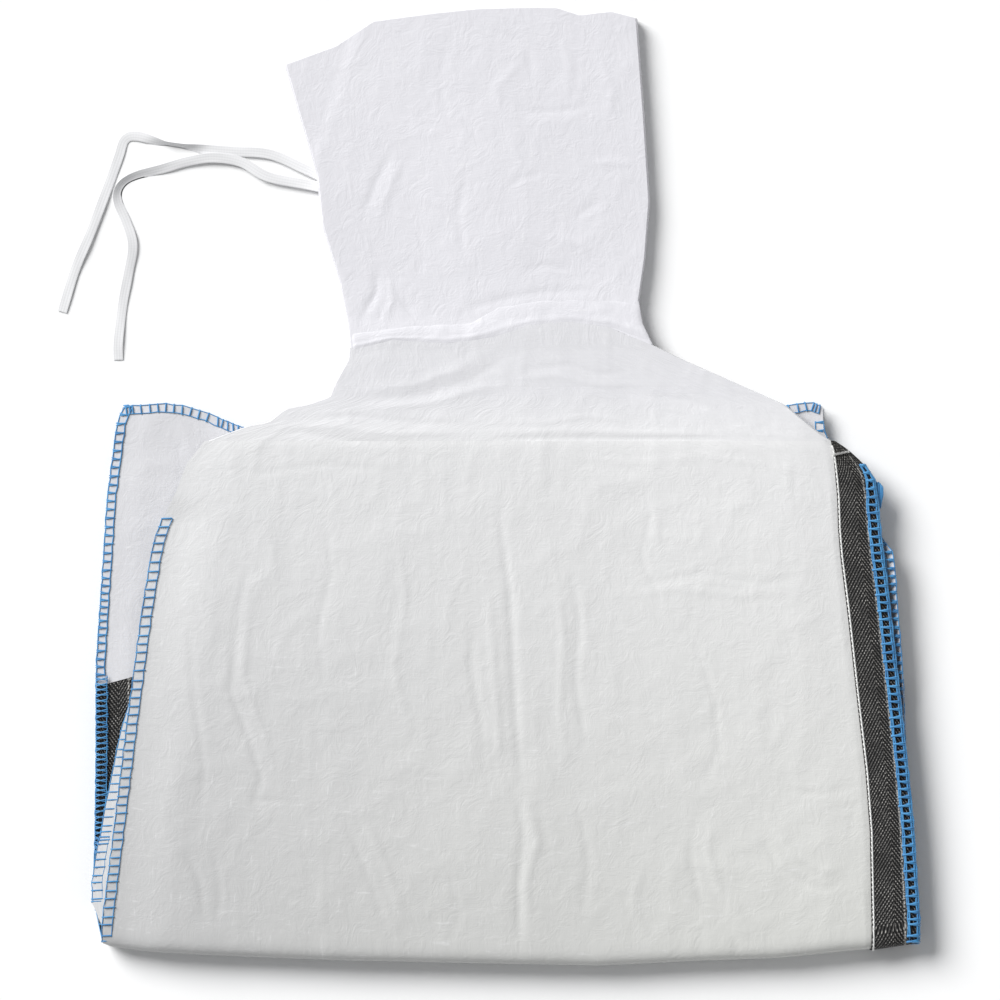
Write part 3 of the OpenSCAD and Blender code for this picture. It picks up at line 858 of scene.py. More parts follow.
    @staticmethod
    def back_upper(x: Array, y: Array) -> Array:
        """Back cloth of the upper half, lying face down on the lower half."""
        inside = np.minimum(x - PLAN.upper_left_back.x_at(y), PLAN.upper_right.x_at(y) - 3 - x)
        wave = 0.25 * value_noise(x, y, 50, 37)
        return LIP_BACK_UPPER + (22.6 + wave - LIP_BACK_UPPER) * rounded(inside - LIP_WIDTH, 26)

    @staticmethod
    def top_back(x: Array, y: Array) -> Array:
        """Under face of the top panel and spout."""
        return np.interp(y, [40, 50, 92, 165, 215, 530], [25.0, 25.0, 21.0, 7.0, 1.6, 1.6])


def passed(t: Array) -> Array:
    """Share by which an edge has moved over to the lower half's line at a place along it."""
    return smooth(0.4, 1.0, t - 1)


@dataclass(frozen=True)
class FoldWrap:
    """How a layer runs down the upper half, round the fold and up the lower half.

    A place along it is a number from 0 to 3: 0 to 1 on the upper half, 1 to 2 round the
    fold, 2 to 3 on the lower half.
    """

    top_y: float
    low_y: float
    upper: Surface
    lower: Surface
    reach: float = 24.0
    inset: float = 0.0
    upper_left: Line = PLAN.upper_left
    upper_right: Line = PLAN.upper_right
    lower_end: Line | None = None
    end_slope: float = 0.0

    def place(self, x: Array, t: Array, lift: float = 0.0) -> tuple[Array, Array]:
        """Return y and z at x and at the place t along the layer, lifted off it outwards."""
        turn = PLAN.fold.y_at(x) + self.inset + self.reach
        end = self.low_y if self.lower_end is None else self.lower_end.y_at(x) + self.low_y
        end = end + self.end_slope * (x + 430)
        down, round_it, back = np.clip(t, 0, 1), np.clip(t - 1, 0, 1), np.clip(t - 2, 0, 1)
        y = self.top_y + (turn - self.top_y) * down + (end - turn) * back
        high = self.upper(x, np.maximum(y, turn)) + lift
        low = self.lower(x, np.maximum(y, turn)) - lift
        angle = math.pi * round_it
        z = (high + low) / 2 + (high - low) / 2 * squared(np.cos(angle))
        return y - (self.reach + lift) * squared(np.sin(angle)), z

    def between(self, share: Array, t: Array) -> Array:
        """Return x at a share of the way from the left edge to the right edge."""
        down, back = np.clip(t, 0, 1), np.clip(t - 2, 0, 1)
        end = self.low_y + (0.0 if self.lower_end is None else BASE_Y)
        y = self.top_y + (FOLD_Y - self.top_y) * down + (end - FOLD_Y) * back
        turned = passed(t)
        left = (1 - turned) * self.upper_left.x_at(y) + turned * PLAN.lower_left.x_at(y)
        right = (1 - turned) * self.upper_right.x_at(y) + turned * PLAN.lower_right.x_at(y)
        return left + (right - left) * share

    def along(self, t: Array) -> Array:
        """Return the rough distance along the layer, in millimetres."""
        return ((self.top_y - FOLD_Y) * np.clip(t, 0, 1) + TURN_LENGTH * np.clip(t - 1, 0, 1)
                + (self.low_y - FOLD_Y) * np.clip(t - 2, 0, 1))

    def steps(self, pitch: float, start: float, stop: float) -> list[float]:
        """Return places along the layer about pitch apart, between two places."""
        lengths = (self.top_y - FOLD_Y, TURN_LENGTH, self.low_y - FOLD_Y)
        places: list[float] = []
        t = start
        while t <= stop:
            places.append(t)
            t += pitch / max(lengths[min(int(t), 2)], 1.0)
        return places


def wrap_blend(piece: bpy.types.Object) -> None:
    """Bake the transform of a piece that wraps round the outside of the fold into its mesh."""
    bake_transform(piece)


@dataclass(frozen=True)
class FoldPart:
    """One stretch of a layer inside the fold, between two places along its wrap."""

    name: str
    body: Body | None
    start: float
    stop: float

    def place(self, v: Array) -> Array:
        """Return the place along the wrap at a share of the stretch."""
        return self.start + (self.stop - self.start) * v

    def attach(self, piece: bpy.types.Object, stem: str,
               turn: tuple[float, float] = (0.0194, 0.0204)) -> None:
        """Let the stretch ride its half of the bag, or stay fixed in place at the fold.

        Args:
            piece: the stretch.
            stem: name of the solids that the whole layer stands for.
            turn: not used.
        """
        if self.body is None:
            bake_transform(piece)
        else:
            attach(piece, self.body.value)
            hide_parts(f"{stem}_{self.name}")


FOLD_START, FOLD_STOP = 0.985, 2.015
FOLD_PARTS = (FoldPart("upper", Body.UPPER, 0.0, FOLD_START),
              FoldPart("fold", None, FOLD_START, FOLD_STOP),
              FoldPart("lower", Body.LOWER, FOLD_STOP, 3.0))


def part_at(t: float) -> int:
    """Return the index of the fold part that holds a place along a wrap."""
    return sum(t >= part.stop for part in FOLD_PARTS[:-1])


FRONT_WRAP = FoldWrap(TOP_CREASE, 0.0, Lay.front_upper, Lay.front_lower, lower_end=PLAN.base_edge)
BACK_WRAP = FoldWrap(46.0, 0.0, Lay.back_upper, Lay.back_lower, reach=5.0, inset=14.0,
                     upper_left=PLAN.upper_left_back, upper_right=PLAN.upper_right.shifted(-3),
                     lower_end=PLAN.base_edge)


def rows_to_places(v: Array, upper: int, turn: int, lower: int) -> Array:
    """Turn shares along a grid into places along a wrap, by the rows of each part."""
    row = v * (upper + turn + lower)
    return np.interp(row, [0, upper, upper + turn, upper + turn + lower], [0, 1, 2, 3])


# ---------------------------------------------------------------- body cloths


def point_out(made: bmesh.types.BMesh, out: Vector) -> None:
    """Turn every face of an open sheet over if its first faces don't point out."""
    made.faces.ensure_lookup_table()
    total = Vector()
    for face in made.faces[:40]:
        face.normal_update()
        total += face.normal
    if total.dot(out) < 0:
        bmesh.ops.reverse_faces(made, faces=made.faces)


@dataclass
class BodyCloths:
    """Front and back panels, gussets and base of the bag, folded flat."""

    finishes: Finishes
    thickness: float = CLOTH_WALL
    columns: int = 238
    upper_rows: int = 146
    turn_rows: int = 20
    lower_rows: int = 30
    gusset_depth: float = 225.0
    base_depth: float = 235.0

    def panel(self, name: str, wrap: FoldWrap, size: tuple[int, int],
              places: Callable[[Array], Array], flip: float,
              material: bpy.types.Material) -> bpy.types.Object:
        """Build one panel, or one stretch of it.

        Args:
            name: name of the piece.
            wrap: the way it runs.
            size: columns and rows of cells.
            places: gives the places along the wrap from the shares along the piece.
            flip: 1 for a cloth that faces up on the upper half, -1 for down.
            material: its finish.

        Returns:
            The piece.
        """

        def lay(u: Array, v: Array) -> tuple[Array, Array, Array]:
            t = places(v)
            x = wrap.between(u, t)
            y, z = wrap.place(x, t)
            return x, y, z

        def measure(u: Array, v: Array) -> tuple[Array, Array]:
            return (u - 0.5) * CLOTH_ACROSS, -wrap.along(places(v)) * MM

        made = laid_grid(*size, lay, measure)
        point_out(made, Vector((0, 0, flip)))
        return finished(name, made, material, self.thickness)

    def front(self) -> bpy.types.Object:
        """Build the front panel, which shows on top and lies on the floor below."""
        rows = (self.upper_rows, self.turn_rows, self.lower_rows)
        piece = self.panel("front_cloth", FRONT_WRAP, (self.columns, sum(rows)),
                           lambda v: rows_to_places(v, *rows), 1.0, self.finishes.front)
        wrap_blend(piece)
        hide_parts("front_panel_lower", "front_panel_upper")
        return piece

    def back(self) -> None:
        """Build the back panel, folded face to face between the two halves."""
        for part, rows, tall, under in zip(FOLD_PARTS, (50, 14, 100), (0.54, 0.035, 0.58),
                                           ("back_panel_lower", "back_panel_lower",
                                            "base_panel")):
            piece = self.panel("back_cloth_" + part.name, BACK_WRAP, (150, rows), part.place,
                               -1.0, self.finishes.top)
            part.attach(piece, "back_panel")

    def pleat(self, name: str, node: str, body: Body, side: int, edges: tuple[Line, Line],
              heights: tuple[float, float, float, float], span: tuple[float, float]) -> None:
        """Build one gusset half: a sheet folded inwards between two seams.

        Args:
            name: name of the piece.
            node: the solid it stands for.
            body: the body it rides on.
            side: 1 at the right-hand side, -1 at the left.
            edges: seam lines of its front and back edges.
            heights: front lip, front ply, back ply and back lip.
            span: y of its top and low ends.
        """
        front_lip, front_ply, back_ply, back_lip = heights

        def lay(u: Array, v: Array) -> tuple[Array, Array, Array]:
            in_share = 1 - np.abs(2 * u - 1)
            sewn_x = np.where(u < 0.5, *(line.x_at(u * 0 + span[1]) for line in edges))
            near_fold = sewn_x - side * self.gusset_depth * in_share
            stop = np.maximum(PLAN.fold.y_at(near_fold) + 14.0, span[1])
            y = span[0] + (stop - span[0]) * v
            sewn_y = y - SEAM_LAG * (span[0] - y) / (span[0] - span[1])
            front_x, back_x = edges[0].x_at(sewn_y), edges[1].x_at(sewn_y)
            edge = np.where(u < 0.5, front_x, back_x)
            mid = (front_x + back_x) / 2
            edge = edge + (mid - edge) * in_share**3
            depth = self.gusset_depth + 3 * value_noise(y, y * 0, 60, 71)
            x = edge - side * depth * in_share
            inner = rounded(in_share * depth - LIP_WIDTH, 20)
            outer_z = np.where(u < 0.5, front_lip, back_lip)
            ply_z = np.where(u < 0.5, front_ply, back_ply)
            crease_mid = (front_ply + back_ply) / 2
            close = rounded((1 - in_share) * depth, 6)
            ply_z = crease_mid + (ply_z - crease_mid) * close
            z = outer_z + (ply_z - outer_z) * inner + 0.35 * inner * value_noise(x, y, 45, 73)
            return x, y, z

        def measure(u: Array, v: Array) -> tuple[Array, Array]:
            return u * CLOTH_ACROSS / 2, v * (span[0] - span[1]) * MM

        made = laid_grid(60, 90, lay, measure)
        point_out(made, Vector((0, 0, 1)))
        piece = finished(name, made, self.finishes.body, self.thickness)
        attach(piece, body.value)
        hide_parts(node)

    def gussets(self) -> None:
        """Build the four gusset halves."""
        lower = (LIP_FRONT_LOWER + 0.8, 5.6, 9.0, LIP_BACK_LOWER - 0.8)
        upper = (LIP_FRONT_UPPER - 0.8, 31.0, 27.6, LIP_BACK_UPPER + 0.8)
        left_low, right_low = PLAN.lower_left.shifted(1), PLAN.lower_right.shifted(-1)
        left_up, left_back = PLAN.upper_left.shifted(1), PLAN.upper_left_back.shifted(1)
        right_up, right_back = PLAN.upper_right.shifted(-1), PLAN.upper_right.shifted(-4)
        self.pleat("gusset_left_lower", "left_gusset_lower", Body.LOWER, -1,
                   (left_low, left_low), lower, (58, -503))
        self.pleat("gusset_right_lower", "right_gusset_lower", Body.LOWER, 1,
                   (right_low, right_low), lower, (58, -503))
        self.pleat("gusset_left_upper", "left_gusset_upper", Body.UPPER, -1,
                   (left_up, left_back), upper, (40, -503))
        self.pleat("gusset_right_upper", "right_gusset_upper", Body.UPPER, 1,
                   (right_up, right_back), upper, (40, -503))

    def base(self) -> None:
        """Build the base panel, folded in at the closed end of the lower half."""
        heights = (10.6, 12.6)

        def lay(u: Array, v: Array) -> tuple[Array, Array, Array]:
            sewn_y = u * 0 + 60
            left, right = PLAN.lower_left.x_at(sewn_y) + 6, PLAN.lower_right.x_at(sewn_y) - 6
            x = left + (right - left) * u
            in_share = 1 - np.abs(2 * v - 1)
            y = PLAN.base_edge.y_at(x) - 1.0 - self.base_depth * in_share
            close = rounded((1 - in_share) * self.base_depth, 6)
            mid = sum(heights) / 2
            ply = mid + (np.where(v < 0.5, heights[0], heights[1]) - mid) * close
            lip = np.where(v < 0.5, LIP_FRONT_LOWER + 0.8, LIP_BACK_LOWER - 0.8)
            inner = smooth(10, 60, in_share * self.base_depth)
            return x, y, lip + (ply - lip) * inner

        def measure(u: Array, v: Array) -> tuple[Array, Array]:
            return u * CLOTH_ACROSS, v * 2 * self.base_depth * MM

        made = laid_grid(90, 60, lay, measure)
        point_out(made, Vector((0, 0, 1)))
        piece = finished("base_cloth", made, self.finishes.body,
                         self.thickness)
        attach(piece, Body.LOWER.value)
        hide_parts("base_panel")

    def build(self) -> None:
        """Build every body cloth."""
        LOG.info("laid %s", self.front().name)
        self.back()
        self.gussets()
        self.base()
        LOG.info("laid gussets and base")


# ---------------------------------------------------------------- top panel and spout


@dataclass
class FlatTube:
    """A tube of cloth pressed flat, its upper ply and under ply meeting in round sides."""

    name: str
    left: Line
    right: Line
    start: Line
    stop: Line
    over: Surface
    under: Surface
    columns: int
    rows: int
    round_by: float = 2.6
    side_share: float = 0.66
    measured: float = 0.8

    def build(self, material: bpy.types.Material, slot: Slot) -> bpy.types.Object:
        """Return the tube, open at both ends."""

        def lay(u: Array, v: Array) -> tuple[Array, Array, Array]:
            front = u < 0.5
            across = np.where(front, 2 * u, 2 - 2 * u)
            across = 0.75 * across + 0.25 * (0.5 - 0.5 * np.cos(math.pi * across))
            low_left, low_right = self.start.points[0][0], self.start.points[-1][0]
            end_left, end_right = self.stop.points[0][0], self.stop.points[-1][0]
            y_low = self.start.y_at(low_left + (low_right - low_left) * across)
            y_end = self.stop.y_at(end_left + (end_right - end_left) * across)
            y = y_low + (y_end - y_low) * v
            left, right = self.left.x_at(y), self.right.x_at(y)
            x = left + (right - left) * across
            edge = rounded(np.minimum(x - left, right - x), self.round_by)
            over, under = self.over(x, y), self.under(x, y)
            mid = under + self.side_share * (over - under)
            z = np.where(front, mid + (over - mid) * edge, mid + (under - mid) * edge)
            return x, y, z

        def measure(u: Array, v: Array) -> tuple[Array, Array]:
            return ((u - 0.25) * self.measured,
                    v * (self.stop.points[0][1] - self.start.points[0][1]) * MM)

        made = laid_grid(self.columns, self.rows, lay, measure)
        bmesh.ops.remove_doubles(made, verts=made.verts, dist=0.01)
        bmesh.ops.recalc_face_normals(made, faces=made.faces)
        made.faces.ensure_lookup_table()
        top = max(made.faces, key=lambda f: f.calc_center_median().z)
        if top.normal.z < 0:
            bmesh.ops.reverse_faces(made, faces=made.faces)
        return finished(self.name, made, material, CLOTH_WALL)


def spout_blend(piece: bpy.types.Object) -> None:
    """Bake the transform of a piece that crosses the spout's seam into its mesh."""
    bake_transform(piece)


@dataclass
class FillingTop:
    """Top panel, neck, spout and the seam band between them."""

    finishes: Finishes
    spout_length: float = 0.3615
    spout_round: float = 0.72

    def top(self) -> bpy.types.Object:
        """Build the part of the top panel next to the body."""
        start = Line(((-330, TOP_CREASE), (361, TOP_CREASE)))
        stop = Line(((-189, TOP_SPLIT), (264, TOP_SPLIT)))
        tube = FlatTube("top_cloth", PLAN.top_left, PLAN.top_right, start, stop,
                        Lay.top_panel, Lay.top_back, 340, 22, measured=1.4)
        piece = tube.build(self.finishes.brow, Slot.BODY_CLOTH)
        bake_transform(piece)
        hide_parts("top_panel")
        return piece

    def neck(self) -> bpy.types.Object:
        """Build the tapering part of the top panel below the spout seam."""
        start = Line(((-189, TOP_SPLIT), (264, TOP_SPLIT)))
        tube = FlatTube("neck_cloth", PLAN.top_left, PLAN.top_right, start, PLAN.band_low,
                        Lay.top, Lay.top_back, 260, 26, measured=1.0)
        piece = tube.build(self.finishes.top, Slot.BODY_CLOTH)
        spout_blend(piece)
        return piece

    def spout(self) -> bpy.types.Object:
        """Build the spout, a tube pressed flat and open at the mouth."""
        tube = FlatTube("spout_cloth", PLAN.spout_left, PLAN.spout_right, PLAN.band_low,
                        PLAN.mouth, Lay.spout, Lay.top_back, 250, 118)
        piece = tube.build(self.finishes.spout, Slot.SPOUT_CLOTH)
        spout_blend(piece)
        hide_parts("spout")
        return piece

    def band(self) -> bpy.types.Object:
        """Build the turned seam band where the spout is sewn on."""

        def lay(u: Array, v: Array) -> tuple[Array, Array, Array]:
            guess = -158 + 312 * u
            low, high = PLAN.band_low.y_at(guess) - 3, PLAN.band_high.y_at(guess) + 1
            y = low + (high - low) * v
            left, right = PLAN.spout_left.x_at(y) + 3, PLAN.spout_right.x_at(y) - 1
            x = left + (right - left) * u
            crown = np.sin(math.pi * np.clip(v, 0, 1)) ** 0.5
            crown = crown * rounded(np.minimum(x - left, right - x), 5)
            ridge = 0.5 * np.exp(-(((v - 0.25) / 0.1) ** 2))
            rise = 1.1 + ridge + 0.25 * value_noise(x, y, 12, 53)
            return x, y, Lay.spout(x, y) - 0.5 + rise * crown

        def measure(u: Array, v: Array) -> tuple[Array, Array]:
            return u * 0.31, v * 0.03

        made = laid_grid(150, 18, lay, measure)
        point_out(made, Vector((0, 0, 1)))
        piece = finished("spout_band", made, self.finishes.spout, 0.4)
        spout_blend(piece)
        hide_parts("spout_seam_band")
        return piece

    def build(self) -> None:
        """Build the whole filling top."""
        for piece in (self.top(), self.neck(), self.spout(), self.band()):
            LOG.info("laid %s", piece.name)


# ---------------------------------------------------------------- webbing and loops


@dataclass(frozen=True)
class StrapRun:
    """One corner webbing: which wrap it follows and the lines of its two long edges."""

    corner: str
    wrap: FoldWrap
    upper: tuple[Line, Line]
    lower: tuple[Line, Line]
    lift: float
    outer: bool

    def edge_x(self, share: Array, t: Array) -> Array:
        """Return x at a share across the strap and at the place t along its wrap."""
        down, back = np.clip(t, 0, 1), np.clip(t - 2, 0, 1)
        y = self.wrap.top_y + (FOLD_Y - self.wrap.top_y) * down + (PLAN.web_end - FOLD_Y) * back
        turned = passed(t)
        ends = [(1 - turned) * high.x_at(y) + turned * low.x_at(y)
                for high, low in zip(self.upper, self.lower)]
        return ends[0] + (ends[1] - ends[0]) * share


@dataclass
class Webbing:
    """Corner webbings, their lock stitching, bar tacks and lifting loops."""

    finishes: Finishes
    width: float = 50.0
    thick: float = 1.4

    def runs(self) -> tuple[StrapRun, ...]:
        """Return the four corner webbings."""
        web = PLAN.web_end
        left_up, right_up = PLAN.upper_left, PLAN.upper_right
        left_back, right_back = PLAN.upper_left_back, PLAN.upper_right.shifted(-3)
        left_low, right_low = PLAN.lower_left, PLAN.lower_right
        front_out = FoldWrap(50.0, web, Lay.front_upper, Lay.front_lower, reach=24.3, inset=-0.3)
        tucked = Line(tuple((x + 1.5 + 20.0 * min(max((y + 75) / 50, 0.0), 1.0), y)
                            for x, y in left_up.points))
        front_in = FoldWrap(38.0, web, lambda x, y: Lay.front_upper(x, y) - 2.2,
                            lambda x, y: Lay.front_lower(x, y) + 2.2, reach=20.0, inset=4.0)
        back_out = FoldWrap(34.0, web, lambda x, y: Lay.back_upper(x, y) - 1.0,
                            lambda x, y: Lay.back_lower(x, y) + 0.9, reach=3.0, inset=18.0,
                               end_slope=0.27)
        back_in = FoldWrap(34.0, web, lambda x, y: Lay.back_upper(x, y) + 1.6,
                           lambda x, y: Lay.back_lower(x, y) - 1.6, reach=6.5, inset=11.0)
        return (
            StrapRun("front_right", front_out, (PLAN.webbing_edge, right_up.shifted(-0.6)),
                     (right_low.shifted(-51), right_low.shifted(-1)), 0.2, True),
            StrapRun("front_left", front_in, (tucked, left_up.shifted(51)),
                     (left_low.shifted(1.5), left_low.shifted(51)), 0.0, False),
            StrapRun("back_left", back_out, (left_back.shifted(0.6), left_back.shifted(50)),
                     (left_low.shifted(0.2), left_low.shifted(49)), 0.0, True),
            StrapRun("back_right", back_in, (right_back.shifted(-51), right_back.shifted(-1.5)),
                     (right_low.shifted(-51), right_low.shifted(-1.5)), 0.0, False),
        )

    def strap(self, name: str, run: StrapRun, rows: int,
              places: Callable[[Array], Array]) -> bpy.types.Object:
        """Build one corner webbing, or one stretch of it.

        Args:
            name: name of the piece.
            run: the way it runs.
            rows: rows of cells along it.
            places: gives the places along its wrap from the shares along the piece.

        Returns:
            The piece.
        """

        def lay(u: Array, v: Array) -> tuple[Array, Array, Array]:
            t = places(v)
            x = run.edge_x(u, t)
            y, z = run.wrap.place(x, t, run.lift)
            return x, y, z

        def measure(u: Array, v: Array) -> tuple[Array, Array]:
            return u * self.width * MM, -run.wrap.along(places(v)) * MM

        made = laid_grid(16, rows, lay, measure)
        point_out(made, Vector((0, 0, 1 if run.corner.startswith("front") else -1)))
        return finished(name, made, self.finishes.webbing, -self.thick)

    def straps(self, run: StrapRun) -> None:
        """Build one corner webbing: in one length outside the fold, in three inside it."""
        stem = "webbing_" + run.corner
        rows = (84, 20, 44)
        if run.corner.startswith("front"):
            piece = self.strap(stem, run, sum(rows), lambda v: rows_to_places(v, *rows))
            wrap_blend(piece)
            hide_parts(stem + "_lower", stem + "_upper")
            return
        for part, count in zip(FOLD_PARTS, rows):
            part.attach(self.strap(f"{stem}_{part.name}", run, count, part.place), stem)

    def stitching(self, run: StrapRun) -> None:
        """Build the lock stitch along the inner edge of a corner webbing."""
        inner = 0.05 if run.corner.endswith("right") else 0.95
        front = run.corner.startswith("front")
        proud = self.thick + 0.2 if run.outer else -0.9
        stem = "stitch_" + run.corner
        names = (stem,) if front else tuple(f"{stem}_{part.name}" for part in FOLD_PARTS)
        works = [ThreadWork(name, 0.95 if run.outer else 0.5) for name in names]
        pitch = 5.6 if run.corner == "front_right" else 9.0
        places = run.wrap.steps(pitch, 0.01, 2.97)
        for a, b in zip(places[:-1], places[1:]):
            t = np.array([a, a + 0.12 * (b - a), a + 0.5 * (b - a), a + 0.88 * (b - a), b])
            x = run.edge_x(np.full(5, inner), t)
            lifts = np.array([-0.25, 0.35, 0.5, 0.35, -0.25])
            points = []
            for i in range(5):
                y, z = run.wrap.place(x[i:i + 1], t[i:i + 1],
                                      run.lift + proud + lifts[i])
                points.append((float(x[i]) + 0.25 * (i - 2), float(y[0]), max(float(z[0]), 1.0)))
            works[0 if front else part_at(b)].run(points)
        attach_thread(works, self.finishes.white, Slot.WHITE_THREAD, "stitching_" + run.corner,
                      (0.0190, 0.0208))

    def bar_tack(self, corner: str, start: Point, end: Point) -> None:
        """Build the short dense row of stitches that holds a loop to its corner."""
        work = ThreadWork("tack_" + corner, 0.7)
        count = 30
        points = []
        for i in range(count + 1):
            share = i / count
            x = start[0] + (end[0] - start[0]) * share
            y = start[1] + (end[1] - start[1]) * share + (1.2 if i % 2 else -1.2)
            z = start[2] + (end[2] - start[2]) * share
            points.append((x, y, z + (0.3 if i % 2 else 0.0)))
        work.run(points)
        piece = work.build(self.finishes.white, Slot.WHITE_THREAD)
        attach(piece, Body.UPPER.value)
        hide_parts("bar_tack_" + corner)

    def loop(self, corner: str, body: str, outline: tuple[Line, Line], span: tuple[float, float],
             heights: tuple[float, float], lengthwise: bool) -> None:
        """Build one lifting loop pressed flat: two plies of webbing that meet in a bend.

        Args:
            corner: its corner.
            body: the body it rides on.
            outline: lines of its two long edges.
            span: where it starts and ends along its length.
            heights: z of its two plies' middles.
            lengthwise: true where its length runs along y.
        """

        def lay(u: Array, v: Array) -> tuple[Array, Array, Array]:
            ply_share = np.clip(1.04 - 2.08 * np.abs(v - 0.5), 0, 1)
            length = span[0] + (span[1] - span[0]) * ply_share
            side_a = outline[0].x_at(length) if lengthwise else outline[0].y_at(length)
            side_b = outline[1].x_at(length) if lengthwise else outline[1].y_at(length)
            across = side_a + (side_b - side_a) * u
            mid, half = sum(heights) / 2, (heights[1] - heights[0]) / 2
            turn = np.clip((v - 0.48) / 0.04, 0, 1)
            z = mid + half * np.cos(math.pi * turn)
            bend = 2.0 * np.sin(math.pi * turn)
            sign = 1 if span[1] > span[0] else -1
            length = length + sign * bend
            return (across, length, z) if lengthwise else (length, across, z)

        def measure(u: Array, v: Array) -> tuple[Array, Array]:
            return u * self.width * MM, v * 2 * abs(span[1] - span[0]) * MM

        made = laid_grid(10, 120, lay, measure)
        point_out(made, Vector((0, 0, 1)))
        piece = finished("loop_" + corner, made, self.finishes.webbing, 0.9)
        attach(piece, body)
        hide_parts("lifting_loop_" + corner)

    def build(self) -> None:
        """Build the webbings, their sewing and the lifting loops."""
        for run in self.runs():
            self.straps(run)
            self.stitching(run)
            LOG.info("sewed on %s", run.corner)
        self.bar_tack("front_right", (360.5, 34.6, 37.0), (378, 38.4, 36.2))
        self.bar_tack("front_left", (-345, 28, 27.5), (-315, 28, 30.0))
        self.bar_tack("back_left", (-318, 24, 21.4), (-286, 24, 21.4))
        self.bar_tack("back_right", (306, 24, 21.4), (338, 24, 21.4))
        low_left = Line(((-320, 53), (-115, 53)))
        high_left = Line(((-320, 54.5), (-264, 66), (-240, 78), (-115, 86)))
        self.loop("front_left", "loop_front_left", (low_left, high_left), (-300, -119),
                  (18.2, 19.5), False)
        low_right = Line(((145, 53), (350, 53)))
        high_right = Line(((145, 86), (316, 83), (350, 54.5)))
        self.loop("front_right", "loop_front_right", (low_right, high_right), (348, 149),
                  (18.2, 19.5), False)
        for corner, west, east in (("back_left", -318, -268), ("back_right", 296, 346)):
            self.loop(corner, "loop_" + corner, (Line(((west, -160), (west, 46))),
                                                 Line(((east, -160), (east, 46)))),
                      (46, -156), (19.4, 20.7), True)
        LOG.info("laid lifting loops")


# ---------------------------------------------------------------- overlock seams


class Ladder(Enum):
    """Styles of overlock stitch."""

    PLAIN = "plain"
    SLANTED = "slanted"
    CHUNKY = "chunky"
    DENSE = "dense"


@dataclass(frozen=True)
class Stitch:
    """Sizes of one style of overlock stitch, in millimetres.

    Rails are given as share of the depth, share of the half thickness and share of the
    thread's radius.
    """

    pitch: float
    depth: float
    slant: float
    thick: float = 1.0
    twin: float = 0.0
    rails: tuple[tuple[float, float, float], ...] = ((-0.05, 0.3, 0.62), (1.0, 0.85, 0.6))


HEAVY_THREAD = 1.3
GATHERED = (-318, -284)
CROWDED_ENDS = (-412, 332)
STITCHES = {
    Ladder.PLAIN: Stitch(10.2, 10.5, 0.5),
    Ladder.SLANTED: Stitch(9.8, 8.6, 1.6, 0.9, 2.3, ((-0.05, 0.3, 0.75), (1.0, 0.85, 0.8))),
    Ladder.CHUNKY: Stitch(9.3, 11.8, 1.8, 1.35, 2.4,
                          ((-0.05, 0.2, 1.4), (0.12, 0.9, 1.1), (0.86, 0.9, 1.1), (1.0, 0.8, 1.0))),
    Ladder.DENSE: Stitch(6.2, 11.5, 3.2, 0.8, 2.9, ((-0.05, 0.3, 0.8), (1.0, 0.85, 0.7))),
}


@dataclass(frozen=True)
class SeamRun:
    """An overlocked edge that runs down the upper half, round the fold and up the lower."""

    corner: str
    wrap: FoldWrap
    upper: Line
    lower: Line
    side: int
    lips: tuple[float, float]
    styles: tuple[Ladder, Ladder]
    start: float
    stop: float
    over: float = 1.0
    dense_over: float = 3.4

    def style(self, t: float, y: float) -> Ladder:
        """Return the stitch style at a place: closer set over the webbing's short leg."""
        if t < 1.5:
            return self.styles[0]
        dense = self.corner == "back_left" and y < PLAN.web_end + 4
        return Ladder.DENSE if dense else self.styles[1]

    def edge(self, t: float) -> Point:
        """Return the edge point at the place t along the wrap."""
        down, back = min(t, 1.0), max(t - 2.0, 0.0)
        turned = min(max(t - 1.0, 0.0), 1.0)
        low_end = self.wrap.low_y + (BASE_Y if self.wrap.lower_end else 0)
        y = self.wrap.top_y + (FOLD_Y - self.wrap.top_y) * down + (low_end - FOLD_Y) * back
        share = float(passed(np.array(t)))
        x = (1 - share) * float(self.upper.x_at(np.array(y))) + share * float(
            self.lower.x_at(np.array(y)))
        place_y, _ = self.wrap.place(np.array([x]), np.array([t]))
        mid = (self.lips[0] + self.lips[1]) / 2
        z = mid + (self.lips[0] - mid) * float(squared(np.cos(math.pi * turned)))
        if self.corner == "back_right" and back > 0:
            z += float(Lay.right_curl(np.array(x), np.array(y)))
        return x, float(place_y[0]), z


